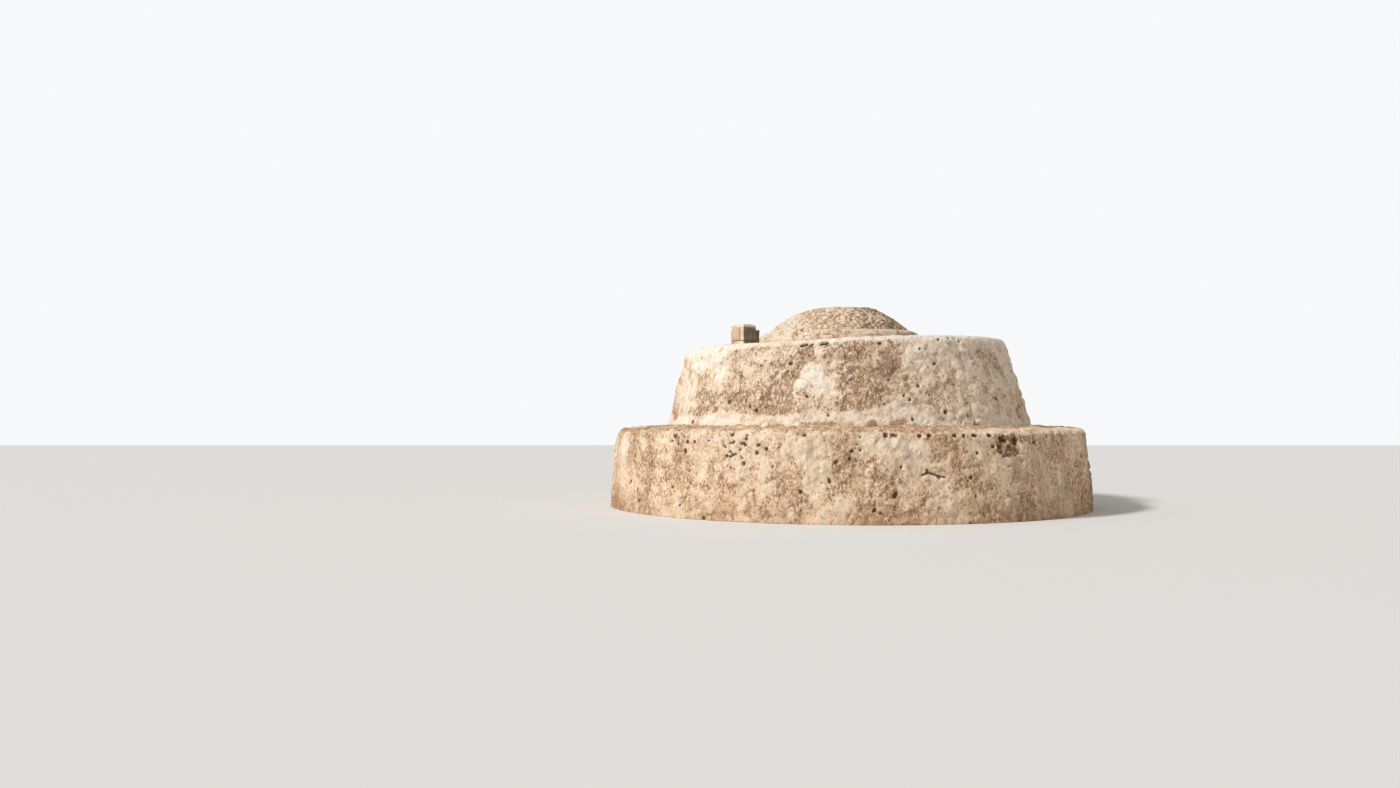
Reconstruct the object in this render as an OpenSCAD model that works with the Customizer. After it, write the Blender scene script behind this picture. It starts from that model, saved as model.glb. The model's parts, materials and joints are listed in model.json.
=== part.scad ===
// Round dry stone trullo house of the two-tiered kind, in millimetres, +Z up.
// The origin is at ground level on the axis of the two tiers.
// The side seen from the front faces -Y and the doorway is on the +Y side.

/* [Lower tier] */
// Outside radius of the lower wall at ground level
base_radius = 5070; // [4900:10:5200]
// Lean of the lower wall's outside face from upright, in degrees
lower_batter = 5; // [3:0.5:7]
// Height of the ledge where it meets the upper tier's foot
ledge_height = 1700; // [1660:10:1760]
// Fall of the ledge from the upper tier's foot out to the shoulder
ledge_fall = 60; // [30:5:90]
// Radius of the rounded shoulder along the ledge's outer edge
shoulder_radius = 170; // [120:10:220]

/* [Upper tier] */
// Outside radius of the upper wall at its foot
upper_radius = 3850; // [3750:10:3950]
// Lean of the upper wall's outside face from upright, in degrees
upper_batter = 15.2; // [14:0.2:16]
// Height of the flat terrace above the ledge, measured on the axis
upper_height = 1665; // [1640:5:1700]
// Radius of the rounded rim around the terrace
rim_radius = 180; // [140:10:220]
// Slope of the terrace and rim, rising towards +X, in degrees
terrace_tilt = 2.2; // [1.8:0.1:2.4]

/* [Room and vault] */
// Inside radius of the round room
room_radius = 2000; // [1900:10:2060]
// Sideways offset of the room, vault and small dome from the tiers' axis
core_offset = -130; // [-160:10:0]
// Thickness of the rubble above the closing slab, at the top of the small dome
crown_thickness = 390; // [370:5:420]
// Depth of the corbelled stones behind the vault's face
corbel_depth = 700; // [660:10:720]
// How long the vault stays steep before it leans in
vault_power = 1.6; // [1.5:0.05:1.7]
// Radius of the hole that the closing slab covers
eye_radius = 432; // [400:10:460]
// Radius of the closing slab
slab_radius = 600; // [540:10:640]
// Thickness of the closing slab
slab_thickness = 120; // [100:10:140]

/* [Doorway] */
// Clear width of the doorway and its passage
doorway_width = 750; // [680:10:820]
// Height of the wall between the top of the lintel and the ledge
over_lintel = 100; // [80:5:140]
// Thickness of the lintel and the passage's roof slabs
lintel_thickness = 180; // [150:5:190]
// Bearing of the lintel and slabs on each side of the passage
lintel_bearing = 200; // [150:10:240]

/* [Small dome] */
// Radius of the small dome at the terrace
dome_radius = 1800; // [1760:10:1850]
// Radius of the flat spot on top of the small dome
dome_flat_radius = 300; // [200:10:400]
// Height of the small dome above the terrace on the axis
dome_height = 885; // [860:5:950]
// Fullness of the small dome's side, higher is fuller
dome_power = 1.2; // [1.1:0.05:1.4]
// Radius of the mortared collar's upper edge at the small dome's foot
collar_radius = 1700; // [1660:10:1740]
// Height of the collar's upper edge above the terrace on the axis
collar_height = 305; // [260:5:330]
// Rise of the collar's top from its edge to the rubble
collar_rise = 25; // [15:5:35]

/* [Chimney] */
// Width of the chimney's shaded face
chimney_width = 360; // [320:10:400]
// Depth of the chimney, along its sunlit face
chimney_depth = 400; // [360:10:460]
// Turn of the chimney from the front, in degrees
chimney_turn = 41; // [30:1:48]
// Place of the chimney to the left and right
chimney_x = -2250; // [-2300:5:-2150]
// Place of the chimney to the front and back
chimney_y = -1100; // [-1200:5:-1000]
// Height of the chimney's lower course of tufa above the terrace
chimney_lower = 165; // [140:5:200]
// Height of the chimney's upper course of tufa
chimney_upper = 285; // [240:5:310]
// Thickness of the mortar cap around the flue
chimney_cap_thickness = 65; // [40:5:80]
// Side of the square flue
flue_side = 170; // [140:10:190]
// Width of the block beside the chimney
side_block_width = 150; // [120:10:180]
// How far the side block stands back from the shaded face
side_block_setback = 50; // [30:5:80]
// How far the side block stays below the top course
side_block_drop = 40; // [20:5:60]

/* [Wear] */
// Angle of the torn place in the lower wall, counted from +X
torn_turn = 298; // [296.5:0.5:300]
// Height of the torn place's middle above the ground
torn_level = 1365; // [1300:5:1400]
// Width of the torn place
torn_width = 420; // [340:10:440]
// Height of the torn place
torn_height = 390; // [300:10:410]
// Depth of the torn place, where the outer stones are gone
torn_depth = 45; // [20:5:80]
// Height of the row of gaps under the shoulder
gap_level = 1550; // [1530:5:1560]
// Size of a gap in that row
gap_size = 75; // [50:5:90]
// Depth of a gap
gap_depth = 90; // [50:5:140]
// Width of a slit under the rim
slit_width = 130; // [110:5:150]
// Height of a slit
slit_height = 40; // [25:5:50]
// Depth of a slit
slit_depth = 90; // [50:5:140]
// Slope of the slits, rising towards +X, in degrees
slit_slope = 12; // [6:1:18]

/* [Hidden] */
$fn = 256;

sectors = 8;
sector_angle = 360 / sectors;
quarter_angle = 90;
vault_courses = 8;
terrace_course = 5;
shoulder_steps = 5;
rim_steps = 5;
dome_steps = 8;
passage_slabs = 3;

reach = 2 * base_radius;
inside_start = room_radius * 0.6;

vault_foot = ledge_height;
course_height = (upper_height + dome_height - crown_thickness - slab_thickness) / vault_courses;
terrace_seat = vault_foot + terrace_course * course_height;
vault_top = vault_foot + vault_courses * course_height;
slab_top = vault_top + slab_thickness;
terrace_height = ledge_height + upper_height;
lintel_top = ledge_height - over_lintel;
doorway_height = lintel_top - lintel_thickness;
pocket_half = doorway_width / 2 + lintel_bearing;
passage_start = room_radius * 0.75;
lintel_depth = 560;
chimney_top = chimney_lower + chimney_upper;

// Angles of the gaps and slits, counted from +X; they are uneven, as stones laid by eye are.
gap_turns = [270.6, 272.5, 277.7, 285.4, 287.4, 289.9, 293.4];
// A slit also has its share of the full width.
slits = [[250.7, 1], [253.2, 0.65], [257.2, 1.1]];
slit_drop = 95;

lime = [0.88, 0.82, 0.73];
white_lime = [0.93, 0.90, 0.85];
rubble = [0.72, 0.64, 0.54];
inner_stone = [0.76, 0.71, 0.63];
tufa = [0.80, 0.71, 0.58];

// Rounds the corner between a wall leaning in by batter and a top rising inwards by rise.
// corner is [radius, height]; the result runs from the wall up and over onto the top.
function rounded_corner(corner, batter, rise, radius, steps) =
    let (inside = 90 + batter + rise)
    let (run = radius / tan(inside / 2))
    let (start = [corner[0] + run * sin(batter), corner[1] - run * cos(batter)])
    let (centre = [start[0] - radius * cos(batter), start[1] - radius * sin(batter)])
    [for (i = [0:steps])
        let (a = batter + (90 - rise - batter) * i / steps)
        [centre[0] + radius * cos(a), centre[1] + radius * sin(a)]];

// Where the lower wall's leaning face meets the falling ledge.
ledge_slope = atan(ledge_fall / (base_radius - upper_radius));
lower_corner_height = ledge_height - ledge_fall * 0.9;
lower_corner = [base_radius - lower_corner_height * tan(lower_batter), lower_corner_height];
ledge_rise = atan((ledge_height - lower_corner[1]) / (lower_corner[0] - upper_radius));

lower_profile = concat(
    [[inside_start, 0], [base_radius, 0]],
    rounded_corner(lower_corner, lower_batter, ledge_rise, shoulder_radius, shoulder_steps),
    [[upper_radius, ledge_height], [inside_start, ledge_height]]
);

upper_corner = [upper_radius - upper_height * tan(upper_batter), upper_height];
upper_below = 400;
upper_profile = concat(
    [[inside_start / 2, -upper_below], [upper_radius + upper_below * tan(upper_batter), -upper_below]],
    rounded_corner(upper_corner, upper_batter, 0, rim_radius, rim_steps),
    [[inside_start / 2, upper_height]]
);

// Inside radius of each corbelled course, counted from nought at the vault's foot.
vault_span = (vault_courses - 1) / pow(1 - eye_radius / room_radius, 1 / vault_power);
function vault_radius(i) = room_radius * (1 - pow(i / vault_span, vault_power));
function course_foot(i) = vault_foot + i * course_height;

// Outline of everything that the vault's courses and closing slab fill.
core_profile = concat(
    [[0, vault_foot - course_height]],
    [[vault_radius(0) + corbel_depth, vault_foot - course_height]],
    [for (i = [0:vault_courses - 1]) for (top = [0:1])
        [vault_radius(i) + corbel_depth, course_foot(i + top)]],
    [[slab_radius, vault_top], [slab_radius, slab_top], [0, slab_top]]
);

// The small dome's side, from the terrace up to its flat top.
function dome_side(h) =
    dome_flat_radius + (dome_radius - dome_flat_radius) * sqrt(1 - pow(h / dome_height, dome_power));
dome_below = 300;
collar_top = collar_height + collar_rise;
dome_profile = concat(
    [[0, terrace_height - dome_below], [dome_radius, terrace_height - dome_below]],
    [[dome_radius, terrace_height], [collar_radius, terrace_height + collar_height]],
    [for (i = [0:dome_steps])
        let (h = collar_top + (dome_height - collar_top) * sin(90 * i / dome_steps))
        [dome_side(h), terrace_height + h]],
    [[0, terrace_height + dome_height]]
);

// Turns a child so that it lies in the tilted frame of the upper tier.
module tilted() {
    translate([0, 0, ledge_height])
        rotate([0, -terrace_tilt, 0])
            children();
}

// Everything above the terrace's sloping surface.
module above_terrace() {
    tilted()
        translate([0, 0, upper_height])
            cylinder(r = reach, h = reach);
}

// Everything below the terrace's sloping surface.
module below_terrace() {
    tilted()
        translate([0, 0, upper_height - reach])
            cylinder(r = reach, h = reach);
}

// A flat layer between two heights.
module layer(low, high) {
    translate([-reach, -reach, low])
        cube([2 * reach, 2 * reach, high - low]);
}

module core() {
    translate([core_offset, 0, 0])
        rotate_extrude()
            polygon(core_profile);
}

module room() {
    translate([core_offset, 0, -reach / 2])
        cylinder(r = room_radius, h = reach);
}

// Puts a child on the lower wall's face: x along the wall, y up the face, z straight out.
module on_lower_face(turn, level) {
    rotate([0, 0, turn])
        translate([base_radius - level * tan(lower_batter), 0, level])
            rotate([0, -lower_batter, 0])
                rotate([90, 0, 90])
                    children();
}

// The same on the upper tier's face, at a height above the ledge.
module on_upper_face(turn, climb) {
    tilted()
        rotate([0, 0, turn])
            translate([upper_radius - climb * tan(upper_batter), 0, climb])
                rotate([0, -upper_batter, 0])
                    rotate([90, 0, 90])
                        children();
}

// An uneven outline with straight edges; each corner's reach follows a sine of its number,
// and squareness pushes the corners out from an oval towards a rectangle.
torn_corners = 11;
gap_corners = 6;
uneven_turn = 137.5;
unevenness = 0.10;
squareness = 0.6;
function broken_edge(width, height, corners, start) =
    [for (i = [0:corners - 1])
        let (a = 360 * i / corners)
        let (square = 1 / pow(max(abs(cos(a)), abs(sin(a))), squareness))
        let (share = square * (1 - unevenness * (1 + sin(start + uneven_turn * i))))
        [width / 2 * share * cos(a), height / 2 * share * sin(a)]];

// A pocket cut straight into a face, given its outline's sizes; it also opens outwards.
module pocket(width, height, depth, corners, start) {
    translate([0, 0, -depth])
        linear_extrude(2 * depth)
            polygon(broken_edge(width, height, corners, start));
}

function within(turn, facing, angle) = abs(turn - facing) < angle / 2;

// What the weather took out of the segment of the lower wall that faces this way.
module lower_wear(facing) {
    if (within(torn_turn, facing, sector_angle))
        on_lower_face(torn_turn, torn_level)
            pocket(torn_width, torn_height, torn_depth, torn_corners, 0);
    for (turn = gap_turns)
        if (within(turn, facing, sector_angle))
            on_lower_face(turn, gap_level)
                pocket(gap_size, gap_size, gap_depth, gap_corners, turn * uneven_turn);
}

// One segment of the lower wall; facing is the way its middle looks, in degrees.
module lower_segment(facing) {
    difference() {
        rotate([0, 0, facing - sector_angle / 2])
            rotate_extrude(angle = sector_angle)
                polygon(lower_profile);
        room();
    }
}

module lower_wall(facing) {
    color(lime)
        difference() {
            lower_segment(facing);
            lower_wear(facing);
        }
}

// The passage's roof stones lie in this space; one stone fills it from near to far.
module lintel_space(near, far) {
    translate([-pocket_half, near, doorway_height])
        cube([2 * pocket_half, far - near, lintel_thickness]);
}

module door_side(side) {
    color(lime)
        difference() {
            intersection() {
                lower_segment(90);
                translate([side > 0 ? doorway_width / 2 : -reach - doorway_width / 2, 0, 0])
                    cube([reach, reach, lintel_top]);
            }
            lintel_space(0, reach);
        }
}

module roof_stone(near, far) {
    color(inner_stone)
        intersection() {
            lower_segment(90);
            lintel_space(near, far);
        }
}

passage_end = base_radius - lintel_top * tan(lower_batter) - lintel_depth;
passage_length = passage_end - room_radius;
function slab_edge(i) = i == 0 ? passage_start : room_radius + passage_length * i / passage_slabs;

module wall_over_door() {
    color(lime)
        intersection() {
            lower_segment(90);
            layer(lintel_top, reach);
        }
}

// The whole turned body of the upper tier within one sector, in its tilted frame.
module upper_body(facing, angle) {
    tilted()
        rotate([0, 0, facing - angle / 2])
            rotate_extrude(angle = angle)
                polygon(upper_profile);
}

module upper_wall(facing) {
    color(lime)
        difference() {
            intersection() {
                upper_body(facing, sector_angle);
                layer(ledge_height, terrace_seat);
            }
            core();
        }
}

// The narrow slits that stand open under the rim.
module rim_slits(facing) {
    for (slit = slits)
        if (within(slit[0], facing, quarter_angle))
            on_upper_face(slit[0], upper_height - slit_drop)
                rotate([0, 0, slit_slope])
                    pocket(slit_width * slit[1], slit_height, slit_depth, gap_corners, slit[0] * uneven_turn);
}

module terrace(facing) {
    color(white_lime)
        difference() {
            intersection() {
                upper_body(facing, quarter_angle);
                layer(terrace_seat, reach);
            }
            core();
            rim_slits(facing);
        }
}

module vault_course(number) {
    color(inner_stone)
        translate([core_offset, 0, course_foot(number - 1)])
            difference() {
                cylinder(r = vault_radius(number - 1) + corbel_depth, h = course_height);
                translate([0, 0, -course_height])
                    cylinder(r = vault_radius(number - 1), h = 3 * course_height);
            }
}

module closing_slab() {
    color(inner_stone)
        translate([core_offset, 0, vault_top])
            cylinder(r = slab_radius, h = slab_thickness);
}

module dome_quarter(facing) {
    color(rubble)
        difference() {
            translate([core_offset, 0, 0])
                rotate([0, 0, facing - quarter_angle / 2])
                    rotate_extrude(angle = quarter_angle)
                        polygon(dome_profile);
            core();
            layer(vault_top, reach);
            below_terrace();
        }
}

module dome_crown() {
    color(rubble)
        difference() {
            intersection() {
                translate([core_offset, 0, 0])
                    rotate_extrude()
                        polygon(dome_profile);
                layer(vault_top, reach);
            }
            core();
        }
}

// Height of the sloping terrace at the chimney's place.
chimney_foot = ledge_height + upper_height / cos(terrace_tilt) + chimney_x * tan(terrace_tilt);

// Turns and places a child given in the chimney's own directions; its lit face looks along -X.
module at_chimney(height) {
    translate([chimney_x, chimney_y, height])
        rotate([0, 0, chimney_turn])
            children();
}

// One course around the flue, from low to high above the terrace.
module chimney_course(low, high) {
    at_chimney(chimney_foot + low)
        difference() {
            translate([-chimney_width / 2, -chimney_depth / 2, 0])
                cube([chimney_width, chimney_depth, high - low]);
            translate([-flue_side / 2, -flue_side / 2, -reach / 2])
                cube([flue_side, flue_side, reach]);
        }
}

module chimney_lower_course() {
    color(tufa)
        difference() {
            chimney_course(-chimney_depth, chimney_lower);
            below_terrace();
        }
}

module chimney_upper_course() {
    color(tufa)
        chimney_course(chimney_lower, chimney_top);
}

module chimney_cap() {
    color(white_lime)
        chimney_course(chimney_top, chimney_top + chimney_cap_thickness);
}

// A block against the chimney's right end, set back from its shaded face and lower than it.
module chimney_side_block() {
    color(tufa)
        difference() {
            at_chimney(chimney_foot - chimney_depth)
                translate([chimney_width / 2, side_block_setback - chimney_depth / 2, 0])
                    cube([
                        side_block_width,
                        chimney_depth - side_block_setback,
                        chimney_depth + chimney_top - side_block_drop
                    ]);
            below_terrace();
        }
}

lower_wall(270);  // lower_wall_front
lower_wall(315);  // lower_wall_front_right
lower_wall(0);  // lower_wall_right
lower_wall(45);  // lower_wall_back_right
lower_wall(135);  // lower_wall_back_left
lower_wall(180);  // lower_wall_left
lower_wall(225);  // lower_wall_front_left
door_side(-1);  // door_side_left
door_side(1);  // door_side_right
roof_stone(slab_edge(3), reach);  // door_lintel
roof_stone(slab_edge(2), slab_edge(3));  // passage_slab_outer
roof_stone(slab_edge(1), slab_edge(2));  // passage_slab_middle
roof_stone(slab_edge(0), slab_edge(1));  // passage_slab_inner
wall_over_door();
upper_wall(270);  // upper_wall_front
upper_wall(315);  // upper_wall_front_right
upper_wall(0);  // upper_wall_right
upper_wall(45);  // upper_wall_back_right
upper_wall(90);  // upper_wall_back
upper_wall(135);  // upper_wall_back_left
upper_wall(180);  // upper_wall_left
upper_wall(225);  // upper_wall_front_left
terrace(270);  // terrace_front
terrace(0);  // terrace_right
terrace(90);  // terrace_back
terrace(180);  // terrace_left
vault_course(1);  // vault_course_1
vault_course(2);  // vault_course_2
vault_course(3);  // vault_course_3
vault_course(4);  // vault_course_4
vault_course(5);  // vault_course_5
vault_course(6);  // vault_course_6
vault_course(7);  // vault_course_7
vault_course(8);  // vault_course_8
closing_slab();
dome_quarter(270);  // dome_front
dome_quarter(0);  // dome_right
dome_quarter(90);  // dome_back
dome_quarter(180);  // dome_left
dome_crown();
chimney_lower_course();
chimney_upper_course();
chimney_cap();
chimney_side_block();
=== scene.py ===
# %% [markdown]
# # A round two-tiered trullo house
# The house is a thick round wall of limewashed rubble, a smaller round tier on top of it,
# a flat terrace, a low dome of bare rubble and a small chimney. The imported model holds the
# solids at their real size. This script dresses them: it lays weathered skins over the
# walls, sets the stones of the dome, the vault and the doorway, and mixes the finishes.

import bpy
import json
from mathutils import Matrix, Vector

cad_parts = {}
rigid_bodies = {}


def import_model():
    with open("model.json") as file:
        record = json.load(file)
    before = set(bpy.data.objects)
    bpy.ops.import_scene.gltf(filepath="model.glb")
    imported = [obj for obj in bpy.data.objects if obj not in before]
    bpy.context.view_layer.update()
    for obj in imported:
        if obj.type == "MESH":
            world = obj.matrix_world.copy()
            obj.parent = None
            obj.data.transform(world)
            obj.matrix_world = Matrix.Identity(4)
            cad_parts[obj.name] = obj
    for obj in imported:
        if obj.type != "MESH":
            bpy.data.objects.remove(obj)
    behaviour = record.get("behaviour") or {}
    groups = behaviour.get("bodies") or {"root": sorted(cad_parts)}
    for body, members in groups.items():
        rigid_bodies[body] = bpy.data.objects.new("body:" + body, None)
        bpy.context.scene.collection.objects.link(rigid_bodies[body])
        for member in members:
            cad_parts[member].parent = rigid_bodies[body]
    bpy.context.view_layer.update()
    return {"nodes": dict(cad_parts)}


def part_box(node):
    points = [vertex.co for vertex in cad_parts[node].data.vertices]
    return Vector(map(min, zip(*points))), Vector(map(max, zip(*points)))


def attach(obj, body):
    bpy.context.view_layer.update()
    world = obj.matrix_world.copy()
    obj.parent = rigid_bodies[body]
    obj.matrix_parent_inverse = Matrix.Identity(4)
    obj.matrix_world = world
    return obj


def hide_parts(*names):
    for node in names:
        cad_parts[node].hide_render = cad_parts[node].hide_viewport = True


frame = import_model()

import json
import math

import bpy
import numpy as np

# %% [markdown]
# Sizes come first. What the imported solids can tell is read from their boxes, and the leans,
# roundings and offsets repeat the part's own driving sizes, in metres and degrees.

# %% Main sizes
BASE_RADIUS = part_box("lower_wall_right")[1][0]
LEDGE_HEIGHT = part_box("lower_wall_right")[1][2]
LEDGE_FALL = 0.060
LOWER_LEAN = math.radians(5)
SHOULDER_RADIUS = 0.17
UPPER_RADIUS = 3.85
UPPER_LEAN = math.radians(15.2)
UPPER_HEIGHT = 1.665
RIM_RADIUS = 0.18
TERRACE_TILT = math.radians(2.2)
CORE_OFFSET = -0.13
ROOM_RADIUS = 2.0
DOOR_WIDTH = 0.75
DOOR_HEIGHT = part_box("door_lintel")[0][2]
LINTEL_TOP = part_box("door_lintel")[1][2]
LINTEL_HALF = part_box("door_lintel")[1][0]
DOME_RADIUS = 1.8
DOME_FLAT = 0.3
DOME_HEIGHT = 0.885
DOME_POWER = 1.2
COLLAR_RADIUS = 1.70
COLLAR_HEIGHT = 0.305
COLLAR_RISE = 0.025
TERRACE_HEIGHT = LEDGE_HEIGHT + UPPER_HEIGHT
print("ledge at", round(LEDGE_HEIGHT, 3), "doorway", DOOR_WIDTH, "by", round(DOOR_HEIGHT, 3))

# %% [markdown]
# Every shape here is an array of points with x, y and z along its last axis, since numpy
# then works on all points at once. Two helpers put such an array together and take it
# apart again.


# %% Points and their coordinates
def joined(*parts):
    """Arrays of x, y and z, or of any two numbers, as one array of points."""
    return np.stack(np.broadcast_arrays(*parts), axis=-1)


def apart(points):
    """The x, y and z of an array of points."""
    return np.moveaxis(points, -1, 0)


# %% [markdown]
# Old masonry is irregular at every size, so the shapes need noise that looks the same on a
# wall, a ledge and a dome. Noise read from the three coordinates of each point has no seam
# where a round wall closes. Random numbers come from a formula on whole-numbered cells,
# so each run makes the same house.

# %% Noise on whole arrays of points
CELL_ODDS = (374761393, 668265263, 362437)
SEED_ODDS = 974711
MIXES = ((13, 1274126177), (15, 668265263))
LOW_BITS = 0xFFFFFFFF
JITTER = 0.85


def scatter(cell, seed):
    """A number from 0 to 1 for each whole-numbered cell (..., 3): the three numbers are
    multiplied by large odd numbers, added, and mixed with their own shifted copies."""
    mixed = ((cell * CELL_ODDS).sum(axis=-1) + seed * SEED_ODDS) & LOW_BITS
    for shift, odd in MIXES:
        mixed = ((mixed ^ (mixed >> shift)) * odd) & LOW_BITS
    return ((mixed ^ (mixed >> 16)) & 0xFFFFFF) / 0xFFFFFF


def smooth(low, high, value):
    """Runs from 0 at low to 1 at high along the curve t * t * (3 - 2 t)."""
    t = np.clip((value - low) / (high - low), 0.0, 1.0)
    return t * t * (3 - 2 * t)


def mottle(points, size, seed):
    """Smooth noise from 0 to 1: random corner values of cells of the given size, blended
    across each cell along t * t * (3 - 2 t)."""
    scaled = points / np.asarray(size, float)
    cell = np.floor(scaled).astype(np.int64)
    part = scaled - cell
    part = part * part * (3 - 2 * part)
    total = np.zeros(points.shape[:-1])
    for step in np.ndindex(2, 2, 2):
        step = np.array(step)
        weight = np.prod(np.where(step == 1, part, 1 - part), axis=-1)
        total += weight * scatter(cell + step, seed)
    return total


def fractal(points, size, seed, octaves=3):
    """Layers of mottle, each half as large and half as strong, scaled back to 0 to 1."""
    total, weight = 0.0, 0.0
    for k in range(octaves):
        total = total + mottle(points, np.asarray(size, float) / 2**k, seed + 17 * k) / 2**k
        weight += 1 / 2**k
    return total / weight


def uneven(points, size, seed, strength, octaves=3):
    """A fractal about nought, whose strength is what lies between its ends."""
    return strength * (fractal(points, size, seed, octaves) - 0.5)


def stones(points, size, seed):
    """Stones as cells: one random centre sits in every box of the given size, jittered
    about its middle. Returns the distance to the nearest centre, the gap to the second
    nearest, and the stone's own random number."""
    scaled = points / np.asarray(size, float)
    cell = np.floor(scaled).astype(np.int64)
    nearest = np.full(points.shape[:-1], 9.0)
    second = np.full(points.shape[:-1], 9.0)
    own = np.zeros(points.shape[:-1])
    for offset in np.ndindex(3, 3, 3):
        here = cell + np.array(offset) - 1
        spread = joined(*(scatter(here, seed + axis) for axis in range(3)))
        centre = here + 0.5 + (spread - 0.5) * JITTER
        away = np.sqrt(((scaled - centre) ** 2).sum(axis=-1))
        closer = away < nearest
        second = np.where(closer, nearest, np.minimum(second, away))
        own = np.where(closer, scatter(here, seed + 7), own)
        nearest = np.minimum(nearest, away)
    return nearest, second - nearest, own


def shake(points, size, seed):
    """Three mottles less a half, one for each direction, to push points about."""
    return joined(*(mottle(points, size, seed + k) for k in range(3))) - 0.5


# %% [markdown]
# Every skin is a grid of points. One function turns points and faces into a mesh, stores the
# numbers that its finish needs as attributes, ties the piece to the body and hides the nodes
# that it stands for.


# %% From a grid to a piece
def in_scene(name, data):
    """An object for a mesh, a lamp or a camera, linked to the scene."""
    thing = bpy.data.objects.new(name, data)
    bpy.context.scene.collection.objects.link(thing)
    return thing


def piece_of(name, points, faces, shades, material, replaced=()):
    """A piece of those points (..., 3) that its four-sided faces use. Each array of shades
    becomes a point attribute."""
    used, faces = np.unique(faces, return_inverse=True)
    mesh = bpy.data.meshes.new(name)
    mesh.from_pydata(points.reshape(-1, 3)[used].tolist(), [], faces.reshape(-1, 4).tolist())
    for shade, values in shades.items():
        layer = mesh.attributes.new(shade, "FLOAT", "POINT")
        layer.data.foreach_set("value", values.ravel()[used].astype(np.float32))
    mesh.materials.append(material)
    mesh.shade_smooth()
    piece = in_scene(name, mesh)
    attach(piece, "root")
    if replaced:
        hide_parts(*replaced)
    print(name, "has", len(mesh.polygons), "faces")


def grid_faces(rows, columns, closed=False):
    """Four-sided faces of a grid, wound so that they look out where columns run
    anticlockwise and rows run up. A closed grid joins its last column to its first."""
    index = np.arange(rows * columns).reshape(rows, columns)
    if closed:
        index = np.concatenate([index, index[:, :1]], axis=1)
    corners = [index[:-1, :-1], index[:-1, 1:], index[1:, 1:], index[1:, :-1]]
    return np.stack(corners, axis=-1)


def skin(name, points, shades, material, replaced=(), closed=False, keep=None):
    """A piece from a grid of points (rows, columns, 3); keep marks the cells that stay."""
    faces = grid_faces(*points.shape[:2], closed)
    faces = faces if keep is None else faces[keep]
    piece_of(name, points, faces, shades, material, replaced)


# %% [markdown]
# The finishes are mixed from nodes. Shader sums are easier to read as Python expressions,
# so one small class wraps a socket and gives it plus, minus and times. Everything else
# comes from one method that takes a node's type, its settings and its sockets.


# %% A socket that can be added and multiplied
class Wire:
    """An output socket inside a finish. Arithmetic on it adds Math nodes."""

    def __init__(self, finish, socket):
        self.finish = finish
        self.socket = socket

    def _math(self, operation, *values):
        settings = {"operation": operation}
        return self.finish.add("Math", settings, dict(enumerate(values)))

    def __add__(self, other):
        return self._math("ADD", self, other)

    def __sub__(self, other):
        return self._math("SUBTRACT", self, other)

    def __rsub__(self, other):
        return self._math("SUBTRACT", other, self)

    def __mul__(self, other):
        return self._math("MULTIPLY", self, other)

    __radd__ = __add__
    __rmul__ = __mul__

    def between(self, low, high):
        """0 at low and 1 at high, along a smooth step."""
        settings = {"interpolation_type": "SMOOTHSTEP"}
        sockets = {"Value": self, "From Min": low, "From Max": high}
        return self.finish.add("MapRange", settings, sockets)


def paint(red, green, blue):
    """A colour as it is seen, from 0 to 255, turned into the linear values of a socket."""
    seen = np.array([red, green, blue]) / 255
    linear = np.where(seen < 0.04045, seen / 12.92, ((seen + 0.055) / 1.055) ** 2.4)
    return (*linear.tolist(), 1.0)


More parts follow.
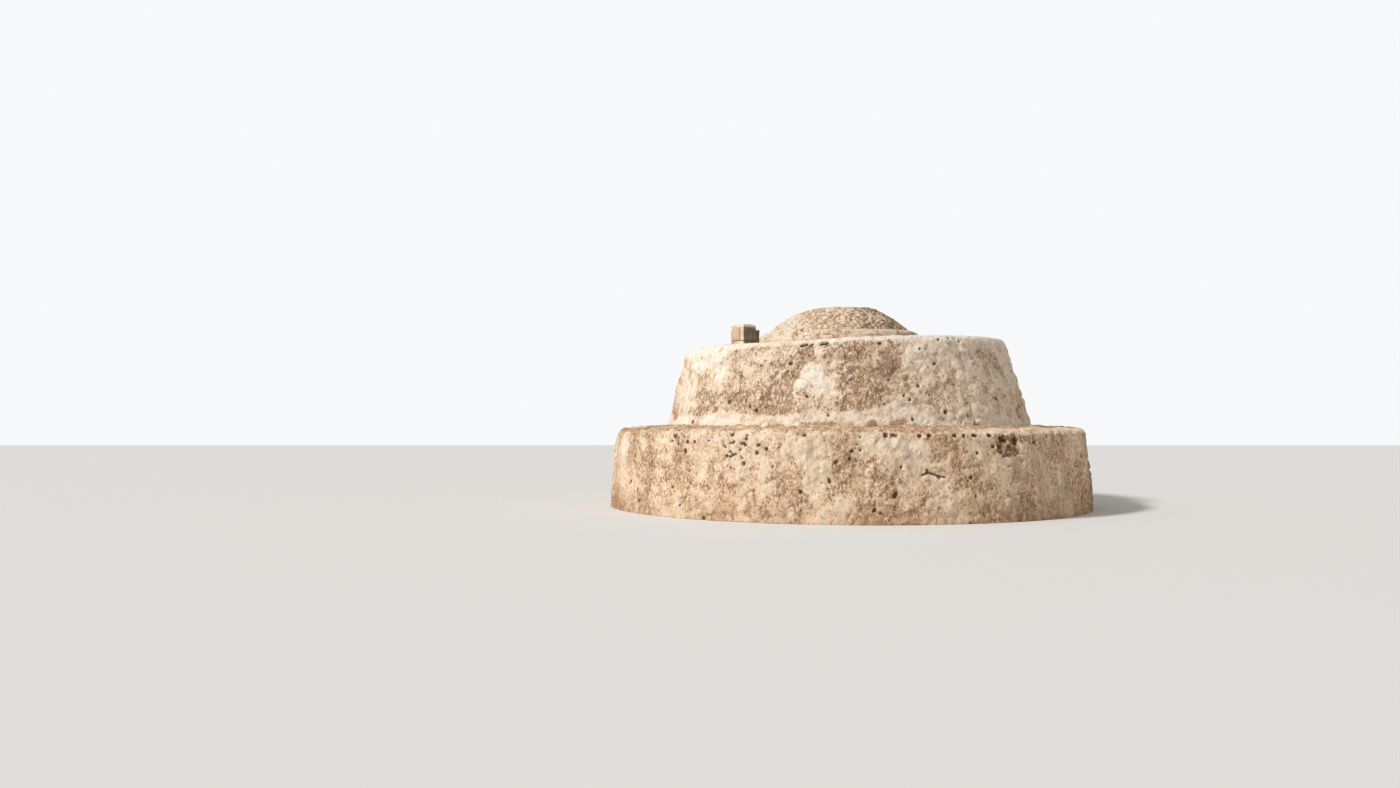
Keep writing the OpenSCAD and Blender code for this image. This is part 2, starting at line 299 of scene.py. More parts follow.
# %% A finish and its nodes
class Finish:
    """The nodes of one material or of the world, which is its owner."""

    def __init__(self, owner):
        owner.use_nodes = True
        self.owner = owner
        self.nodes, self.links = owner.node_tree.nodes, owner.node_tree.links
        self.nodes.clear()

    def add(self, kind, settings=None, sockets=None, output=0):
        """Adds a node: settings first, then values or Wires for its sockets."""
        node = self.nodes.new("ShaderNode" + kind)
        for key, value in (settings or {}).items():
            setattr(node, key, value)
        for key, value in (sockets or {}).items():
            if isinstance(value, Wire):
                self.links.new(value.socket, node.inputs[key])
            else:
                node.inputs[key].default_value = value
        return Wire(self, node.outputs[output]) if node.outputs else None

    def shade(self, name):
        """The number stored on the mesh under this name."""
        return self.add("Attribute", {"attribute_name": name}, output="Fac")

    def place(self, stretch=(1, 1, 1), push=0.0):
        """Object coordinates, squeezed by a Mapping node where a pattern is stretched, and
        pushed about by noise where its shapes should be uneven."""
        spot = self.add("TexCoord", output="Object")
        if push:
            sockets = {"Vector": spot, "Scale": 22.0, "Detail": 2.0}
            drift = self.add("TexNoise", {}, sockets, output="Color")
            drift = self.add("VectorMath", {"operation": "SUBTRACT"}, {0: drift, 1: (0.5, 0.5, 0.5)})
            drift = self.add("VectorMath", {"operation": "SCALE"}, {0: drift, "Scale": push})
            spot = self.add("VectorMath", {"operation": "ADD"}, {0: spot, 1: drift})
        return self.add("Mapping", {}, {"Vector": spot, "Scale": stretch})

    def noise(self, scale, detail=4, stretch=(1, 1, 1)):
        """Noise of so many blotches to the metre."""
        return self.add("TexNoise", {}, {"Vector": self.place(stretch), "Scale": scale, "Detail": detail})

    def coats(self, colour, *layers):
        """Lays colours over the first one in turn, each with the share that it covers. A
        colour is another mix, or three numbers for paint."""
        colour = paint(*colour) if isinstance(colour, tuple) else colour
        for tint, share in layers:
            tint = paint(*tint) if isinstance(tint, tuple) else tint
            colour = self.add("Mix", {"data_type": "RGBA"}, {0: share, 6: colour, 7: tint}, output=2)
        return colour

    def surface(self, colour, roughness, height=None, depth=0.01):
        """Closes the finish with a Principled shader, bumped by height in metres."""
        sockets = {"Base Color": colour, "Roughness": roughness, "Specular IOR Level": 0.25}
        if height is not None:
            bump = {"Height": height, "Distance": depth, "Strength": 1.0}
            sockets["Normal"] = self.add("Bump", {}, bump)
        self.add("OutputMaterial", {}, {"Surface": self.add("BsdfPrincipled", {}, sockets)})
        return self.owner


# %% [markdown]
# Limewash ages in layers. Where it is thick the wall is a pale cream, where it wore thin the
# warm tan of the stones comes through, rain leaves grey runs, and small holes get painted
# shade. The skins store how much lime, grime, earth and shadow each spot has, and the finish
# adds the finer grain that a mesh of two-centimetre cells can't hold, with pale and dark
# specks that are partly painted highlights and shade of small lumps.


# %% Limewash over rubble
def weathered_lime(name, lime_new, lime_old, mortar_pale, mortar_warm):
    """Mortar below, a cloudy coat of limewash over it that is torn where it wore thin, then
    pale and dark specks, partly where the mortar shows and partly painted highlights and
    shade of small lumps, rain grime, earth, small holes painted dark as their shade, and
    painted shade in hollows."""
    finish = Finish(bpy.data.materials.new(name))
    lime = finish.shade("lime")
    cloud = finish.noise(1.9, 3)
    flake = finish.noise(5.0, 9)
    fleck = finish.noise(13, 7, (1.1, 1.1, 0.75))
    speck = finish.noise(27, 6, (1.1, 1.1, 0.7))
    grain = finish.noise(80, 3)
    runs = finish.noise(5.5, 5, (1.0, 1.0, 0.15))
    cover = lime + (flake - 0.5) * 1.9 + (runs - 0.5) * 0.9 + (speck - 0.5) * 0.7
    worn = 1 - cover.between(0.30, 0.80)
    patchy = cloud.between(0.40, 0.60) * 0.6 + 0.4
    warmth = finish.shade("tone") * 0.6 + (flake - 0.5) * 1.2 + cloud * 0.5
    grime = finish.shade("grime") + (runs - 0.5) * 1.9 + (flake - 0.5) * 0.9
    earth = finish.shade("earth") + (speck - 0.5) * 0.8
    hollow_shade = finish.shade("hollow") + (speck - 0.5) * 0.4
    cells = {"Vector": finish.place((1, 1, 1.2), 0.07), "Scale": 16.0, "Randomness": 1.0}
    # Small holes are painted dark as their shade, and also sunk by the bump.
    dots = 1 - finish.add("TexVoronoi", {}, cells).between(0.12, 0.30)
    hole = dots * finish.noise(3.0, 3).between(0.50, 0.60) * (worn * 0.7 + 0.3)
    mortar = finish.coats(mortar_pale, (mortar_warm, warmth.between(0.30, 0.85)))
    soil_share = (speck * 0.7 + flake * 0.5).between(0.48, 0.72)
    wash = finish.coats(
        lime_old,
        ((230, 190, 163), cloud.between(0.46, 0.62) * 0.6),
        ((196, 178, 150), finish.noise(7.0, 5).between(0.52, 0.62) * 0.55),
        (lime_new, cover.between(0.50, 0.90)),
        ((250, 238, 221), (lime + (flake - 0.5) * 0.9).between(0.95, 1.35)),
    )
    colour = finish.coats(
        mortar,
        (wash, cover.between(0.24, 0.56)),
        # The pale and dark flecks and specks are partly mortar showing through and partly painted
        # highlights and shade of small lumps.
        ((252, 240, 222), fleck.between(0.54, 0.63) * (worn * 0.36 + 0.24) * patchy),
        ((138, 106, 80), fleck.between(0.46, 0.37) * (worn * 0.36 + 0.32) * patchy),
        ((252, 240, 222), speck.between(0.54, 0.64) * (worn * 0.36 + 0.24)),
        ((132, 98, 72), speck.between(0.46, 0.36) * (worn * 0.44 + 0.30)),
        ((146, 118, 92), grime.between(0.42, 0.85) * 0.55),
        (finish.coats((184, 138, 94), ((138, 94, 60), soil_share)), earth.between(0.35, 0.65) * 0.80),
        ((104, 78, 55), hole * 0.65),
        # Painted shade in the hollows that the skins mark: pits, cracks, gaps, slits and open joints.
        ((72, 50, 34), hollow_shade.between(0.25, 0.85) * 0.88),
    )
    height = flake * 1.5 + speck * (worn * 0.7 + 0.35) + grain * 0.25 - hole * 0.8
    return finish.surface(colour, 0.92, height, 0.020)


LOWER_LIME = weathered_lime(
    "lower limewash", (241, 216, 185), (226, 192, 156), (208, 170, 132), (180, 136, 98)
)
UPPER_LIME = weathered_lime(
    "upper limewash", (243, 225, 202), (226, 198, 168), (196, 164, 133), (170, 134, 101)
)

# %% [markdown]
# Both tiers are turned shapes: a profile carried round the axis. Each profile is resampled
# at even steps, so that the cells stay square, and its own normal says which way the
# roughness pushes.


# %% Profiles and turning
def rounded(corner, lean, rise, radius, steps=9):
    """The part's own rounding: an arc that touches a wall leaning in by lean and a top
    rising inwards by rise, given as points from the wall up and over."""
    inside = math.radians(90) + lean + rise
    run = radius / math.tan(inside / 2)
    start = np.array([corner[0] + run * math.sin(lean), corner[1] - run * math.cos(lean)])
    centre = start - radius * np.array([math.cos(lean), math.sin(lean)])
    turn = np.linspace(lean, math.radians(90) - rise, steps)
    return centre + radius * joined(np.cos(turn), np.sin(turn))


def even_steps(profile, step, level_step=None, fine=None):
    """Points, outward normals and runs along a profile of (radius, height): a step apart
    where it climbs, and a level_step apart where it runs level. Within fine, a lower and an
    upper height, the steps are half as long."""
    profile = np.asarray(profile, float)
    span = np.diff(profile, axis=0)
    length = np.hypot(*span.T)
    level = smooth(0.70, 0.95, np.abs(span[:, 0]) / length)
    cells = length / (step + ((level_step or step) - step) * level)
    if fine:
        middle = (profile[1:, 1] + profile[:-1, 1]) / 2
        cells = cells * np.where((middle > fine[0]) & (middle < fine[1]), 2, 1)
    run, count = (np.concatenate([[0], np.cumsum(part)]) for part in (length, cells))
    at = np.interp(np.linspace(0, count[-1], int(round(count[-1])) + 1), count, run)
    points = joined(*(np.interp(at, run, column) for column in profile.T))
    along = np.gradient(points, axis=0)
    along /= np.linalg.norm(along, axis=-1, keepdims=True)
    return points, joined(along[:, 1], -along[:, 0]), at


def turned(points, normals, angles):
    """Carries a profile and its normals round the axis: x = r cos a, y = r sin a."""
    around = joined(np.cos(angles), np.sin(angles))
    both = []
    for part in (points, normals):
        upward = np.repeat(part[:, None, 1:], len(angles), axis=1)
        both.append(np.concatenate([part[:, None, :1] * around, upward], axis=-1))
    return both


def turned_steps(profile, angles, *steps):
    """Resamples a profile at even steps, then turns it."""
    points, normals, _ = even_steps(profile, *steps)
    return turned(points, normals, angles)


def tilt(vectors):
    """Turns vectors about Y so that +X rises by the terrace's slope."""
    c, s = math.cos(TERRACE_TILT), math.sin(TERRACE_TILT)
    x, y, z = apart(vectors)
    return joined(x * c - z * s, y, x * s + z * c)


# %% [markdown]
# Marks and weather belong to places. A place on a wall is a compass angle and a height, and
# a soft spot round it says how much of the mark each point gets.


# %% Soft spots on a wall
def near_spot(points, spot, reach, power=2):
    """1 at a spot, falling to 0 at the given reach along X, Y and Z: the distance is a root
    of a sum of powers, so a high power squares the spot's shape."""
    away = np.abs((points - np.asarray(spot)) / np.asarray(reach)) ** power
    return 1 - smooth(0.0, 1.0, away.sum(axis=-1) ** (1 / power))


def wall_spot(points, wall, degrees, height, reach, power=2):
    """near_spot on a leaning wall, given by its radius at the ground and its lean."""
    radius = wall[0] - height * math.tan(wall[1])
    turn = math.radians(degrees)
    return near_spot(points, (radius * math.cos(turn), radius * math.sin(turn), height), reach, power)


def ragged(mask, points, size, seed, low=0.35, high=0.55, pull=0.9):
    """Gives a soft mask a torn edge: noise shifts it before it is cut off sharply."""
    return smooth(low, high, mask + uneven(points, size, seed, pull))


def weathering(points, wall, patches):
    """Adds up the soft patches of more or less lime, each given by its compass angle, its
    height, its reach along and up the wall, and its strength."""
    return sum(
        strength * wall_spot(points, wall, degrees, height, (along, along, up))
        for degrees, height, along, up, strength in patches
    )


# %% [markdown]
# The roughness of a wall has four sizes: a slow swell from building by eye, lumps where
# stones sit under the lime, joints that the lime did not fill, and pits where mortar fell
# out. Thick lime hides the joints, so the same number that paints the wall pale also
# smooths it.


# %% Roughness of a limed rubble wall
STONE_SIZE = (0.24, 0.24, 0.16)
PIT_SIZE = 0.12


def wall_relief(points, lime, pits, seed):
    """How far the surface stands out, in metres, about a mean of nought, with its joints,
    its pits and each stone's own number. Swell, lumps and grain are fractals of three
    sizes; the lumps are folded at their middle value, which leaves round backs with creases
    between them, as stones under a coat of lime have."""
    bend = shake(points, 0.22, seed + 50)
    bent = points + 0.13 * bend
    swell = uneven(points, 1.2, seed, 0.060, 2)
    fold = np.abs(fractal(bent, (0.30, 0.30, 0.22), seed + 3, 2) - 0.5) * 2
    lumps = np.minimum(fold, 0.5) * 0.075 - 0.016
    _, gap, own = stones(bent, STONE_SIZE, seed + 11)
    joint = 1 - smooth(0.02, 0.24, gap)
    bare = 1 - smooth(0.15, 0.70, lime)
    relief = (own - 0.5) * 0.018 * bare - joint * (0.001 + 0.014 * bare)
    near, _, chance = stones(points + 0.10 * bend, PIT_SIZE, seed + 29)
    wide = 0.27 + 0.27 * (1 - chance / np.maximum(pits, 1e-3))
    pit = (chance < pits) * (1 - smooth(0.55 * wide, wide, near))
    grain = uneven(points, 0.085, seed + 41, 0.026, 2)
    return swell + lumps + relief + grain - 0.030 * pit, joint * bare, pit, own


# %% [markdown]
# The lower tier climbs from the ground, over a rounded shoulder, and runs across the ledge
# to the foot of the upper wall. The photograph shows single marks on it: a torn place at the
# right, a stain, a crack, pitted stretches and a row of gaps under the ledge.

# %% Outline and marks of the lower tier
# A wall is its radius at the ground and its lean. A mark on it is a compass angle in
# degrees, a height, its reach along X, Y and Z, and for the torn place how square it is.
LOWER_WALL = (BASE_RADIUS, LOWER_LEAN)
TORN = (298, 1.365, (0.34, 0.60, 0.33), 5)
STAIN = (279.7, 1.45, (0.20, 0.30, 0.34))
SLUMP = (195, 1.66, (1.4, 1.8, 0.50))
PITTED = (240.5, 1.20, (0.70, 0.70, 0.42))
LESS_PITTED = ((208, 1.28), (226, 1.34), (262, 1.32))
LESS_PITTED_REACH = (0.5, 0.6, 0.36)
GAP_TURNS = (270.6, 272.5, 277.7, 285.4, 287.4, 289.9, 293.4)
GAP_LEVEL = 1.55
GAP_REACH = (0.062, 0.12, 0.056)
# The crack runs through these values of x and z
CRACK = ((0.68, 0.80, 0.90, 0.97, 1.12), (0.855, 0.895, 0.870, 0.835, 0.815))

corner_height = LEDGE_HEIGHT - LEDGE_FALL * 0.9
lower_corner = (BASE_RADIUS - corner_height * math.tan(LOWER_LEAN), corner_height)
ledge_rise = math.atan2(LEDGE_HEIGHT - corner_height, lower_corner[0] - UPPER_RADIUS)
lower_profile = [
    (BASE_RADIUS, 0.0),
    *rounded(lower_corner, LOWER_LEAN, ledge_rise, SHOULDER_RADIUS),
    (UPPER_RADIUS - 0.12, LEDGE_HEIGHT + 0.01),
]


def lower_marks(points):
    """How strong each mark is at each point: torn plaster, the stain, the crack and the
    pale lip below it, the pits and the gaps under the ledge."""
    x, y, z = apart(points)
    torn = ragged(wall_spot(points, LOWER_WALL, *TORN), points, 0.11, 60, 0.20, 0.34, 0.8)
    stain = ragged(wall_spot(points, LOWER_WALL, *STAIN), points, 0.14, 61, 0.3, 0.9)
    line = np.interp(x, *CRACK)
    along = smooth(0.64, 0.70, x) * (1 - smooth(1.08, 1.14, x)) * (y < 0)
    crack = (1 - smooth(0.002, 0.034, np.abs(z - line))) * along
    lip = smooth(-0.16, -0.02, z - line) * (z < line) * along
    pitted = 2.2 * wall_spot(points, LOWER_WALL, *PITTED)
    for place in LESS_PITTED:
        pitted = np.maximum(pitted, 0.9 * wall_spot(points, LOWER_WALL, *place, LESS_PITTED_REACH))
    under_ledge = np.exp(-(((z - GAP_LEVEL) / 0.045) ** 2))
    near, _, chance = stones(points * [1, 1, 0.4], (0.13, 0.13, 0.13), 63)
    gaps = 0.9 * under_ledge * (1 - smooth(0.20, 0.42, near)) * (chance < 0.55)
    shaken = points + 0.05 * shake(points, 0.05, 64)
    for turn in GAP_TURNS:
        gap = wall_spot(shaken, LOWER_WALL, turn, GAP_LEVEL, GAP_REACH)
        gaps = np.maximum(gaps, smooth(0.0, 0.4, gap))
    return torn, stain, crack, lip, np.clip(pitted, 0, 1), gaps


# %% [markdown]
# The skin is made in a front and a back half, to keep each piece light. Rows of footing
# close the wall from beneath, and the cells of the doorway are left out.

# %% Skin of the lower tier
FRONT, BACK = (math.pi, 2 * math.pi), (0.0, math.pi)
STEP, LEVEL_STEP = 0.0225, 0.045
FOOTING_ROWS, FOOTING_GAP = 5, 0.07
TORN_RUBBLE = (0.10, 0.10, 0.075)
# Compass angle, height, reach along the wall, reach up it, and the lime that is added
LOWER_PATCHES = (
    (198, 1.30, 1.20, 0.60, 0.50),
    (211, 1.30, 0.55, 0.36, 0.40),
    (229, 0.62, 0.55, 0.45, -0.45),
    (251, 0.66, 0.50, 0.40, -0.30),
    (263, 0.90, 0.40, 0.60, -0.45),
    (275, 1.22, 0.60, 0.50, 0.60),
    (283, 1.00, 1.00, 0.70, 0.20),
    (217, 1.34, 0.50, 0.30, 0.35),
    (267, 1.38, 0.60, 0.28, 0.40),
    (273, 1.42, 0.50, 0.22, 0.35),
    (289, 1.32, 0.45, 0.32, 0.40),
)


def with_footing(points, shades, angles):
    """Adds flat rows below the wall, from the room out to the wall's foot."""
    radius = ROOM_RADIUS + FOOTING_GAP
    inner = joined(CORE_OFFSET + radius * np.cos(angles), radius * np.sin(angles), 0)
    share = np.linspace(0, 1, FOOTING_ROWS + 1)[:-1, None, None]
    footing = inner[None] * (1 - share) + points[:1] * share
    shades = {
        shade: np.concatenate([np.repeat(values[:1], FOOTING_ROWS, axis=0), values])
        for shade, values in shades.items()
    }
    return np.concatenate([footing, points]), shades


def doorway_cells(points):
    """The cells of a grid that lie in the doorway or behind its lintel."""
    x, y, z = apart((points[:-1, :-1] + points[1:, 1:]) / 2)
    margin = 0.02 + FOOTING_GAP * (z < 1e-6)
    doorway = (np.abs(x) < DOOR_WIDTH / 2 + margin) & (z < DOOR_HEIGHT)
    lintel = (np.abs(x) < LINTEL_HALF - 0.03) & (z >= DOOR_HEIGHT) & (z < LINTEL_TOP - 0.02)
    return (doorway | lintel) & (y > 0)


def lower_skin(name, span, columns, replaced):
    """One half of the tier: the turned profile, pushed out by its relief and in by its
    marks, and calm beside the doorway."""
    angles = np.linspace(*span, columns)
    points, facing = turned_steps(lower_profile, angles, STEP, LEVEL_STEP)
    x, y, z = apart(points)
    ledge = smooth(0.5, 0.95, facing[..., 2])
    washed = smooth(0.25, 0.75, facing[..., 2]) * smooth(0.55, 0.30, BASE_RADIUS - np.hypot(x, y))
    washed = washed * smooth(0.6, 1.9, x) * smooth(-0.8, -2.6, y)
    torn, stain, crack, lip, pitted, gaps = lower_marks(points)
    lime = 0.47 + uneven(points, (0.40, 0.40, 0.7), 5, 1.25)
    lime = lime + uneven(points, (1.3, 1.3, 1.1), 8, 1.2, 2)
    lime = lime + 0.10 * smooth(1.1, 1.6, z) - 0.16 * (1 - smooth(0.0, 0.6, z))
    # Less lime towards the right: painted shade for the side away from the lamp.
    lime = lime - 0.08 * smooth(0.2, 3.5, x) - 0.9 * torn - 0.35 * ledge + 0.4 * lip + 0.75 * washed
    lime = lime + weathering(points, LOWER_WALL, LOWER_PATCHES)
    relief, joint, pit, own = wall_relief(points, lime, (0.06 + 0.74 * pitted) * (1 - ledge), 100)
    _, bed, rubble = stones(points, TORN_RUBBLE, 66)
    bed = 1 - smooth(0.02, 0.18, bed)
    missing = smooth(0.0, 0.08, rubble - 0.86 + 0.16 * smooth(1.28, 1.46, z))
    lime = lime + torn * smooth(0.34, 0.24, rubble)
    relief = relief - torn * (0.022 + 0.016 * rubble + 0.018 * bed + 0.02 * missing)
    relief = relief - 0.03 * crack - 0.045 * gaps - 0.055 * wall_spot(points, LOWER_WALL, *SLUMP)
    beside = (1 - smooth(0.76, 0.95, np.abs(x))) * (1 - smooth(LINTEL_TOP, LINTEL_TOP + 0.08, z)) * (y > 0)
    relief = relief * (1 - 0.85 * beside) - 0.012 * beside
    relief = np.minimum(relief, 0.9 * z * math.tan(LOWER_LEAN))
    points = points + facing * relief[..., None]
    points[0, :, 2] = 0.0
    # Grime also grows towards the right, as painted shade on top of the rain runs.
    grime = 0.30 - 0.5 * washed + 0.26 * smooth(0.3, 3.6, points[..., 0])
    splash = 0.40 * smooth(1.05, 0.1, z) - 0.40 * washed
    dust = ledge * (0.55 * fractal(points, 0.5, 71, 3) - 0.10)
    bared = torn * np.maximum(0.6 * bed, missing)
    shades = {
        "lime": lime,
        "tone": own,
        "grime": grime + uneven(points, 1.0, 77, 0.9),
        "earth": torn * (0.25 + 0.6 * rubble) + 0.50 * stain + splash + dust,
        "hollow": np.clip(joint * 0.30 + pit * 0.9 + (crack + gaps) * 1.2 + bared * 0.95, 0, 1),
    }
    points, shades = with_footing(points, shades, angles)
    skin(name, points, shades, LOWER_LIME, replaced, keep=~doorway_cells(points))


def named(start, *ends):
    """Names of nodes that begin alike."""
    return [start + end for end in ends]


back_nodes = [
    *named("lower_wall_", "left", "right", "back_left", "back_right"),
    *named("door_side_", "left", "right"),
    "wall_over_door",
]
lower_skin("lower_tier_front_skin", FRONT, 740, named("lower_wall_front", "", "_left", "_right"))
lower_skin("lower_tier_back_skin", BACK, 560, back_nodes)

# %% [markdown]
# The upper tier's skin climbs its leaning wall, rolls over the thick rim and runs in across
# the terrace to below the dome. It is worked out upright and then tilted as one, since the
# mason's terrace drains to one side. Its marks are a pale band along the rim, partly new
# lime and partly painted highlight on the rounded top, new lime at the foot, pale patches,
# a grey stretch in the middle and three slits under the rim.

# %% Outline and marks of the upper tier
UPPER_WALL = (UPPER_RADIUS + LEDGE_HEIGHT * math.tan(UPPER_LEAN), UPPER_LEAN)
# Pale patches: the strength of each, and its place as for the lower tier's marks
PALE = (
    (1.0, (253.6, 2.68, (0.40, 0.7, 0.28))),
    (1.0, (255.6, 2.52, (0.28, 0.7, 0.30))),
    (0.7, (249.5, 2.42, (0.30, 0.5, 0.24))),
)
SECOND_PALE = (219.6, 2.75, (0.3, 0.3, 0.3))
GREY = (271, 2.75, (0.95, 0.9, 1.0))
FULL_SHOULDER = (208, 3.22, (1.7, 1.9, 0.50))
SWAY_RADIUS = 3.4
# Each slit: its compass angle and its share of the full width
SLITS = ((250.7, 1.0), (253.2, 0.65), (257.2, 1.1))
SLIT_CLIMB = UPPER_HEIGHT - 0.095
SLIT_RADIUS = UPPER_RADIUS * 0.89
SLIT_WIDTH = 0.13
SLIT_HEIGHT = 0.04
SLIT_SLOPE = math.radians(19)
SLITS_FROM, SLITS_TO = 1.50, 1.62

upper_corner = (UPPER_RADIUS - UPPER_HEIGHT * math.tan(UPPER_LEAN), UPPER_HEIGHT)
upper_profile = [
    (UPPER_RADIUS + 0.24 * math.tan(UPPER_LEAN), -0.24),
    (UPPER_RADIUS - SLITS_FROM * math.tan(UPPER_LEAN), SLITS_FROM),
    *rounded(upper_corner, UPPER_LEAN, 0.0, RIM_RADIUS),
    (DOME_RADIUS - 0.35, UPPER_HEIGHT),
]


def upper_marks(points, climb, turn):
    """How strong each mark is at each point; climb is the height above the ledge before
    the tilt, and turn the angle round the axis. Drips and foot are read from a level
    circle, so that they change round the wall and not up it."""
    sway = joined(np.cos(turn) * SWAY_RADIUS, np.sin(turn) * SWAY_RADIUS, 0)
    drip = 0.03 + 0.34 * (fractal(sway, 0.40, 211, 3) - 0.42)
    # At the front left the rim's band is widened as a painted highlight, where the rounded rim faces the
    # lamp.
    drip = drip + 0.40 * near_spot(sway, (-2.9, -1.7, 0), (1.2, 1.4, 1))
    rim = smooth(-0.035, 0.035, climb - (UPPER_HEIGHT - np.maximum(drip, 0.075)))
    foot = 0.32 + uneven(sway, 0.6, 213, 0.30) - 0.30 * smooth(0.4, 1.2, sway[..., 0])
    foot = 1 - smooth(-0.06, 0.05, climb - foot)
    patch = np.maximum.reduce([share * wall_spot(points, UPPER_WALL, *spot) for share, spot in PALE])
    second = ragged(wall_spot(points, UPPER_WALL, *SECOND_PALE), points, 0.15, 216)
    patch = np.maximum(ragged(patch, points, 0.14, 215, 0.25, 0.55, 1.1), 0.8 * second)
    grey = ragged(wall_spot(points, UPPER_WALL, *GREY), points, 0.4, 217, 0.15, 0.75, 0.7)
    slits = 0 * climb
    for degrees, share in SLITS:
        half = SLIT_WIDTH * share / 2
        along = SLIT_RADIUS * (turn - math.radians(degrees)) / half
        across = (climb - SLIT_CLIMB - math.sin(SLIT_SLOPE) * along * half) / (SLIT_HEIGHT / 2)
        slits = np.maximum(slits, 1 - smooth(0.85, 1.25, np.maximum(np.abs(along), np.abs(across))))
    return rim, foot, patch, grey, slits


# %% Skin of the upper tier
UPPER_PATCHES = (
    (232, 2.92, 0.75, 0.45, 0.40),
    (245, 2.50, 0.50, 0.45, -0.30),
    (271, 2.16, 0.60, 0.40, -0.50),
    (290, 2.88, 0.60, 0.50, 0.30),
    (280, 2.60, 0.45, 0.60, -0.35),
    (199, 2.25, 0.95, 0.85, 0.45),
    (241, 3.04, 0.70, 0.22, 0.35),
)


def upper_skin(name, span, columns, replaced):
    """One half of the tier with its part of the terrace: turned upright, tilted, set on the
    ledge, and pushed out by its relief."""
    angles = np.linspace(*span, columns)
    local, facing = turned_steps(upper_profile, angles, STEP, LEVEL_STEP, (SLITS_FROM, SLITS_TO))
    points, facing = tilt(local) + [0, 0, LEDGE_HEIGHT], tilt(facing)
    x, climb = points[..., 0], local[..., 2]
    wall = 1 - smooth(0.55, 0.9, facing[..., 2])
    terrace = 1 - smooth(2.85, 3.20, np.hypot(local[..., 0], local[..., 1]))
    rim, foot, patch, grey, slits = upper_marks(points, climb, np.broadcast_to(angles, climb.shape))
    rim = rim * (1 - terrace)
    lime = 0.42 + uneven(points, (0.4, 0.4, 0.6), 205, 1.2)
    lime = lime + uneven(points, (1.6, 1.6, 1.1), 208, 0.9, 2)
    # The rim adds lime, partly new lime and partly a painted highlight along the rounded top.
    lime = lime + 0.80 * rim + 0.65 * foot + 0.95 * patch - 0.30 * grey * (1 - rim) - 0.22 * terrace
    # Paler towards the right: painted light on the side that the lamp leaves in half-shade.
    lime = lime + 0.20 * smooth(0.7, 1.5, x) + 0.12 * smooth(1.5, 2.5, x)
    lime = lime + weathering(points, UPPER_WALL, UPPER_PATCHES)
    relief, joint, pit, own = wall_relief(points, lime, 0.07 * wall + 0.02, 300)
    relief = relief * (0.45 + 0.55 * wall) - 0.06 * slits + 0.012 * rim + 0.012 * patch
    relief = relief + 0.05 * wall_spot(points, UPPER_WALL, *FULL_SHOULDER)
    points = points + facing * relief[..., None]
    grime = 0.28 + 0.34 * grey + uneven(points, 1.0, 277, 0.6)
    earth = foot * smooth(0.50, 0.62, fractal(points, 0.5, 271, 3)) * (1 - smooth(0.05, 0.2, climb))
    shades = {
        "lime": lime,
        "tone": own,
        "grime": grime - 0.7 * rim - 0.4 * foot - 0.3 * patch + 0.15 * terrace,
        "earth": 0.7 * earth,
        "hollow": np.clip(joint * 0.30 + pit * 0.9 + slits * 1.3, 0, 1),
    }
    skin(name, points, shades, UPPER_LIME, replaced)


front_nodes = [*named("upper_wall_front", "", "_left", "_right"), "terrace_front"]
back_nodes = [
    *named("upper_wall_", "left", "right", "back", "back_left", "back_right"),
    *named("terrace_", "left", "right", "back"),
]
upper_skin("upper_tier_front_skin", FRONT, 660, front_nodes)
upper_skin("upper_tier_back_skin", BACK, 500, back_nodes)

# %% [markdown]
# Single stones are all made from one rounded block: a cube cut into a few faces a side whose
# corners are pulled in. Arrays hold every stone at once, so a thousand of them cost no loop.
# Each stone is pushed about by its own noise, and carries its own tone.


# %% One rounded block, and many of them
WEAR_SIZE = 0.9
BLOCKS_APART = 7.31


def block_template(cuts, round_by):
    """A cube from -1 to 1 with cuts faces along each edge, its corners pulled towards the
    sphere by round_by. Returns its points and its four-sided faces."""
    line = np.linspace(-1, 1, cuts + 1)
    u, v = np.meshgrid(line, line)
    sides, faces = [], []
    for axis in range(3):
        for sign in (-1, 1):
            side = np.zeros((cuts + 1, cuts + 1, 3))
            side[..., axis] = sign
            side[..., (axis + 1) % 3] = u * sign
            side[..., (axis + 2) % 3] = v
            faces.append(grid_faces(cuts + 1, cuts + 1).reshape(-1, 4) + len(sides) * u.size)
            sides.append(side.reshape(-1, 3))
    points, faces = np.concatenate(sides), np.concatenate(faces)
    keys = np.round(points * 1000).astype(np.int64)
    _, first, same = np.unique(keys, axis=0, return_index=True, return_inverse=True)
    points, faces = points[first], same.ravel()[faces]
    sphere = points / np.linalg.norm(points, axis=-1, keepdims=True)
    reach = np.abs(points).max(axis=-1, keepdims=True)
    return points * (1 - round_by) + sphere * reach * round_by, faces


def worn_shapes(count, template, seed, rough):
    """The template once for each block, every corner shifted by noise of its own, still in
    units of half the block."""
    shape, own = template[0], np.arange(count)[:, None, None]
    return shape + shake(shape * WEAR_SIZE + own * BLOCKS_APART, WEAR_SIZE, seed) * 2 * rough


def laid(template, centres, halves, axes, seed, rough):
    """A worn block at each centre, scaled by its halves and turned by its axes, which give
    one direction a row."""
    return centres[:, None] + worn_shapes(len(centres), template, seed, rough) * halves[:, None] @ axes


def roughened(points, depth, size, seed, octaves=3):
    """Pushes points about by a fractal, along X, Y and Z alike."""
    return points + uneven(points, size, seed, depth, octaves)[..., None]


def numbers_for(count, how_many, seed):
    """A few random numbers from 0 to 1 for each of count things."""
    own = joined(np.arange(count), 0, 0)
    return [scatter(own, seed + k) for k in range(how_many)]


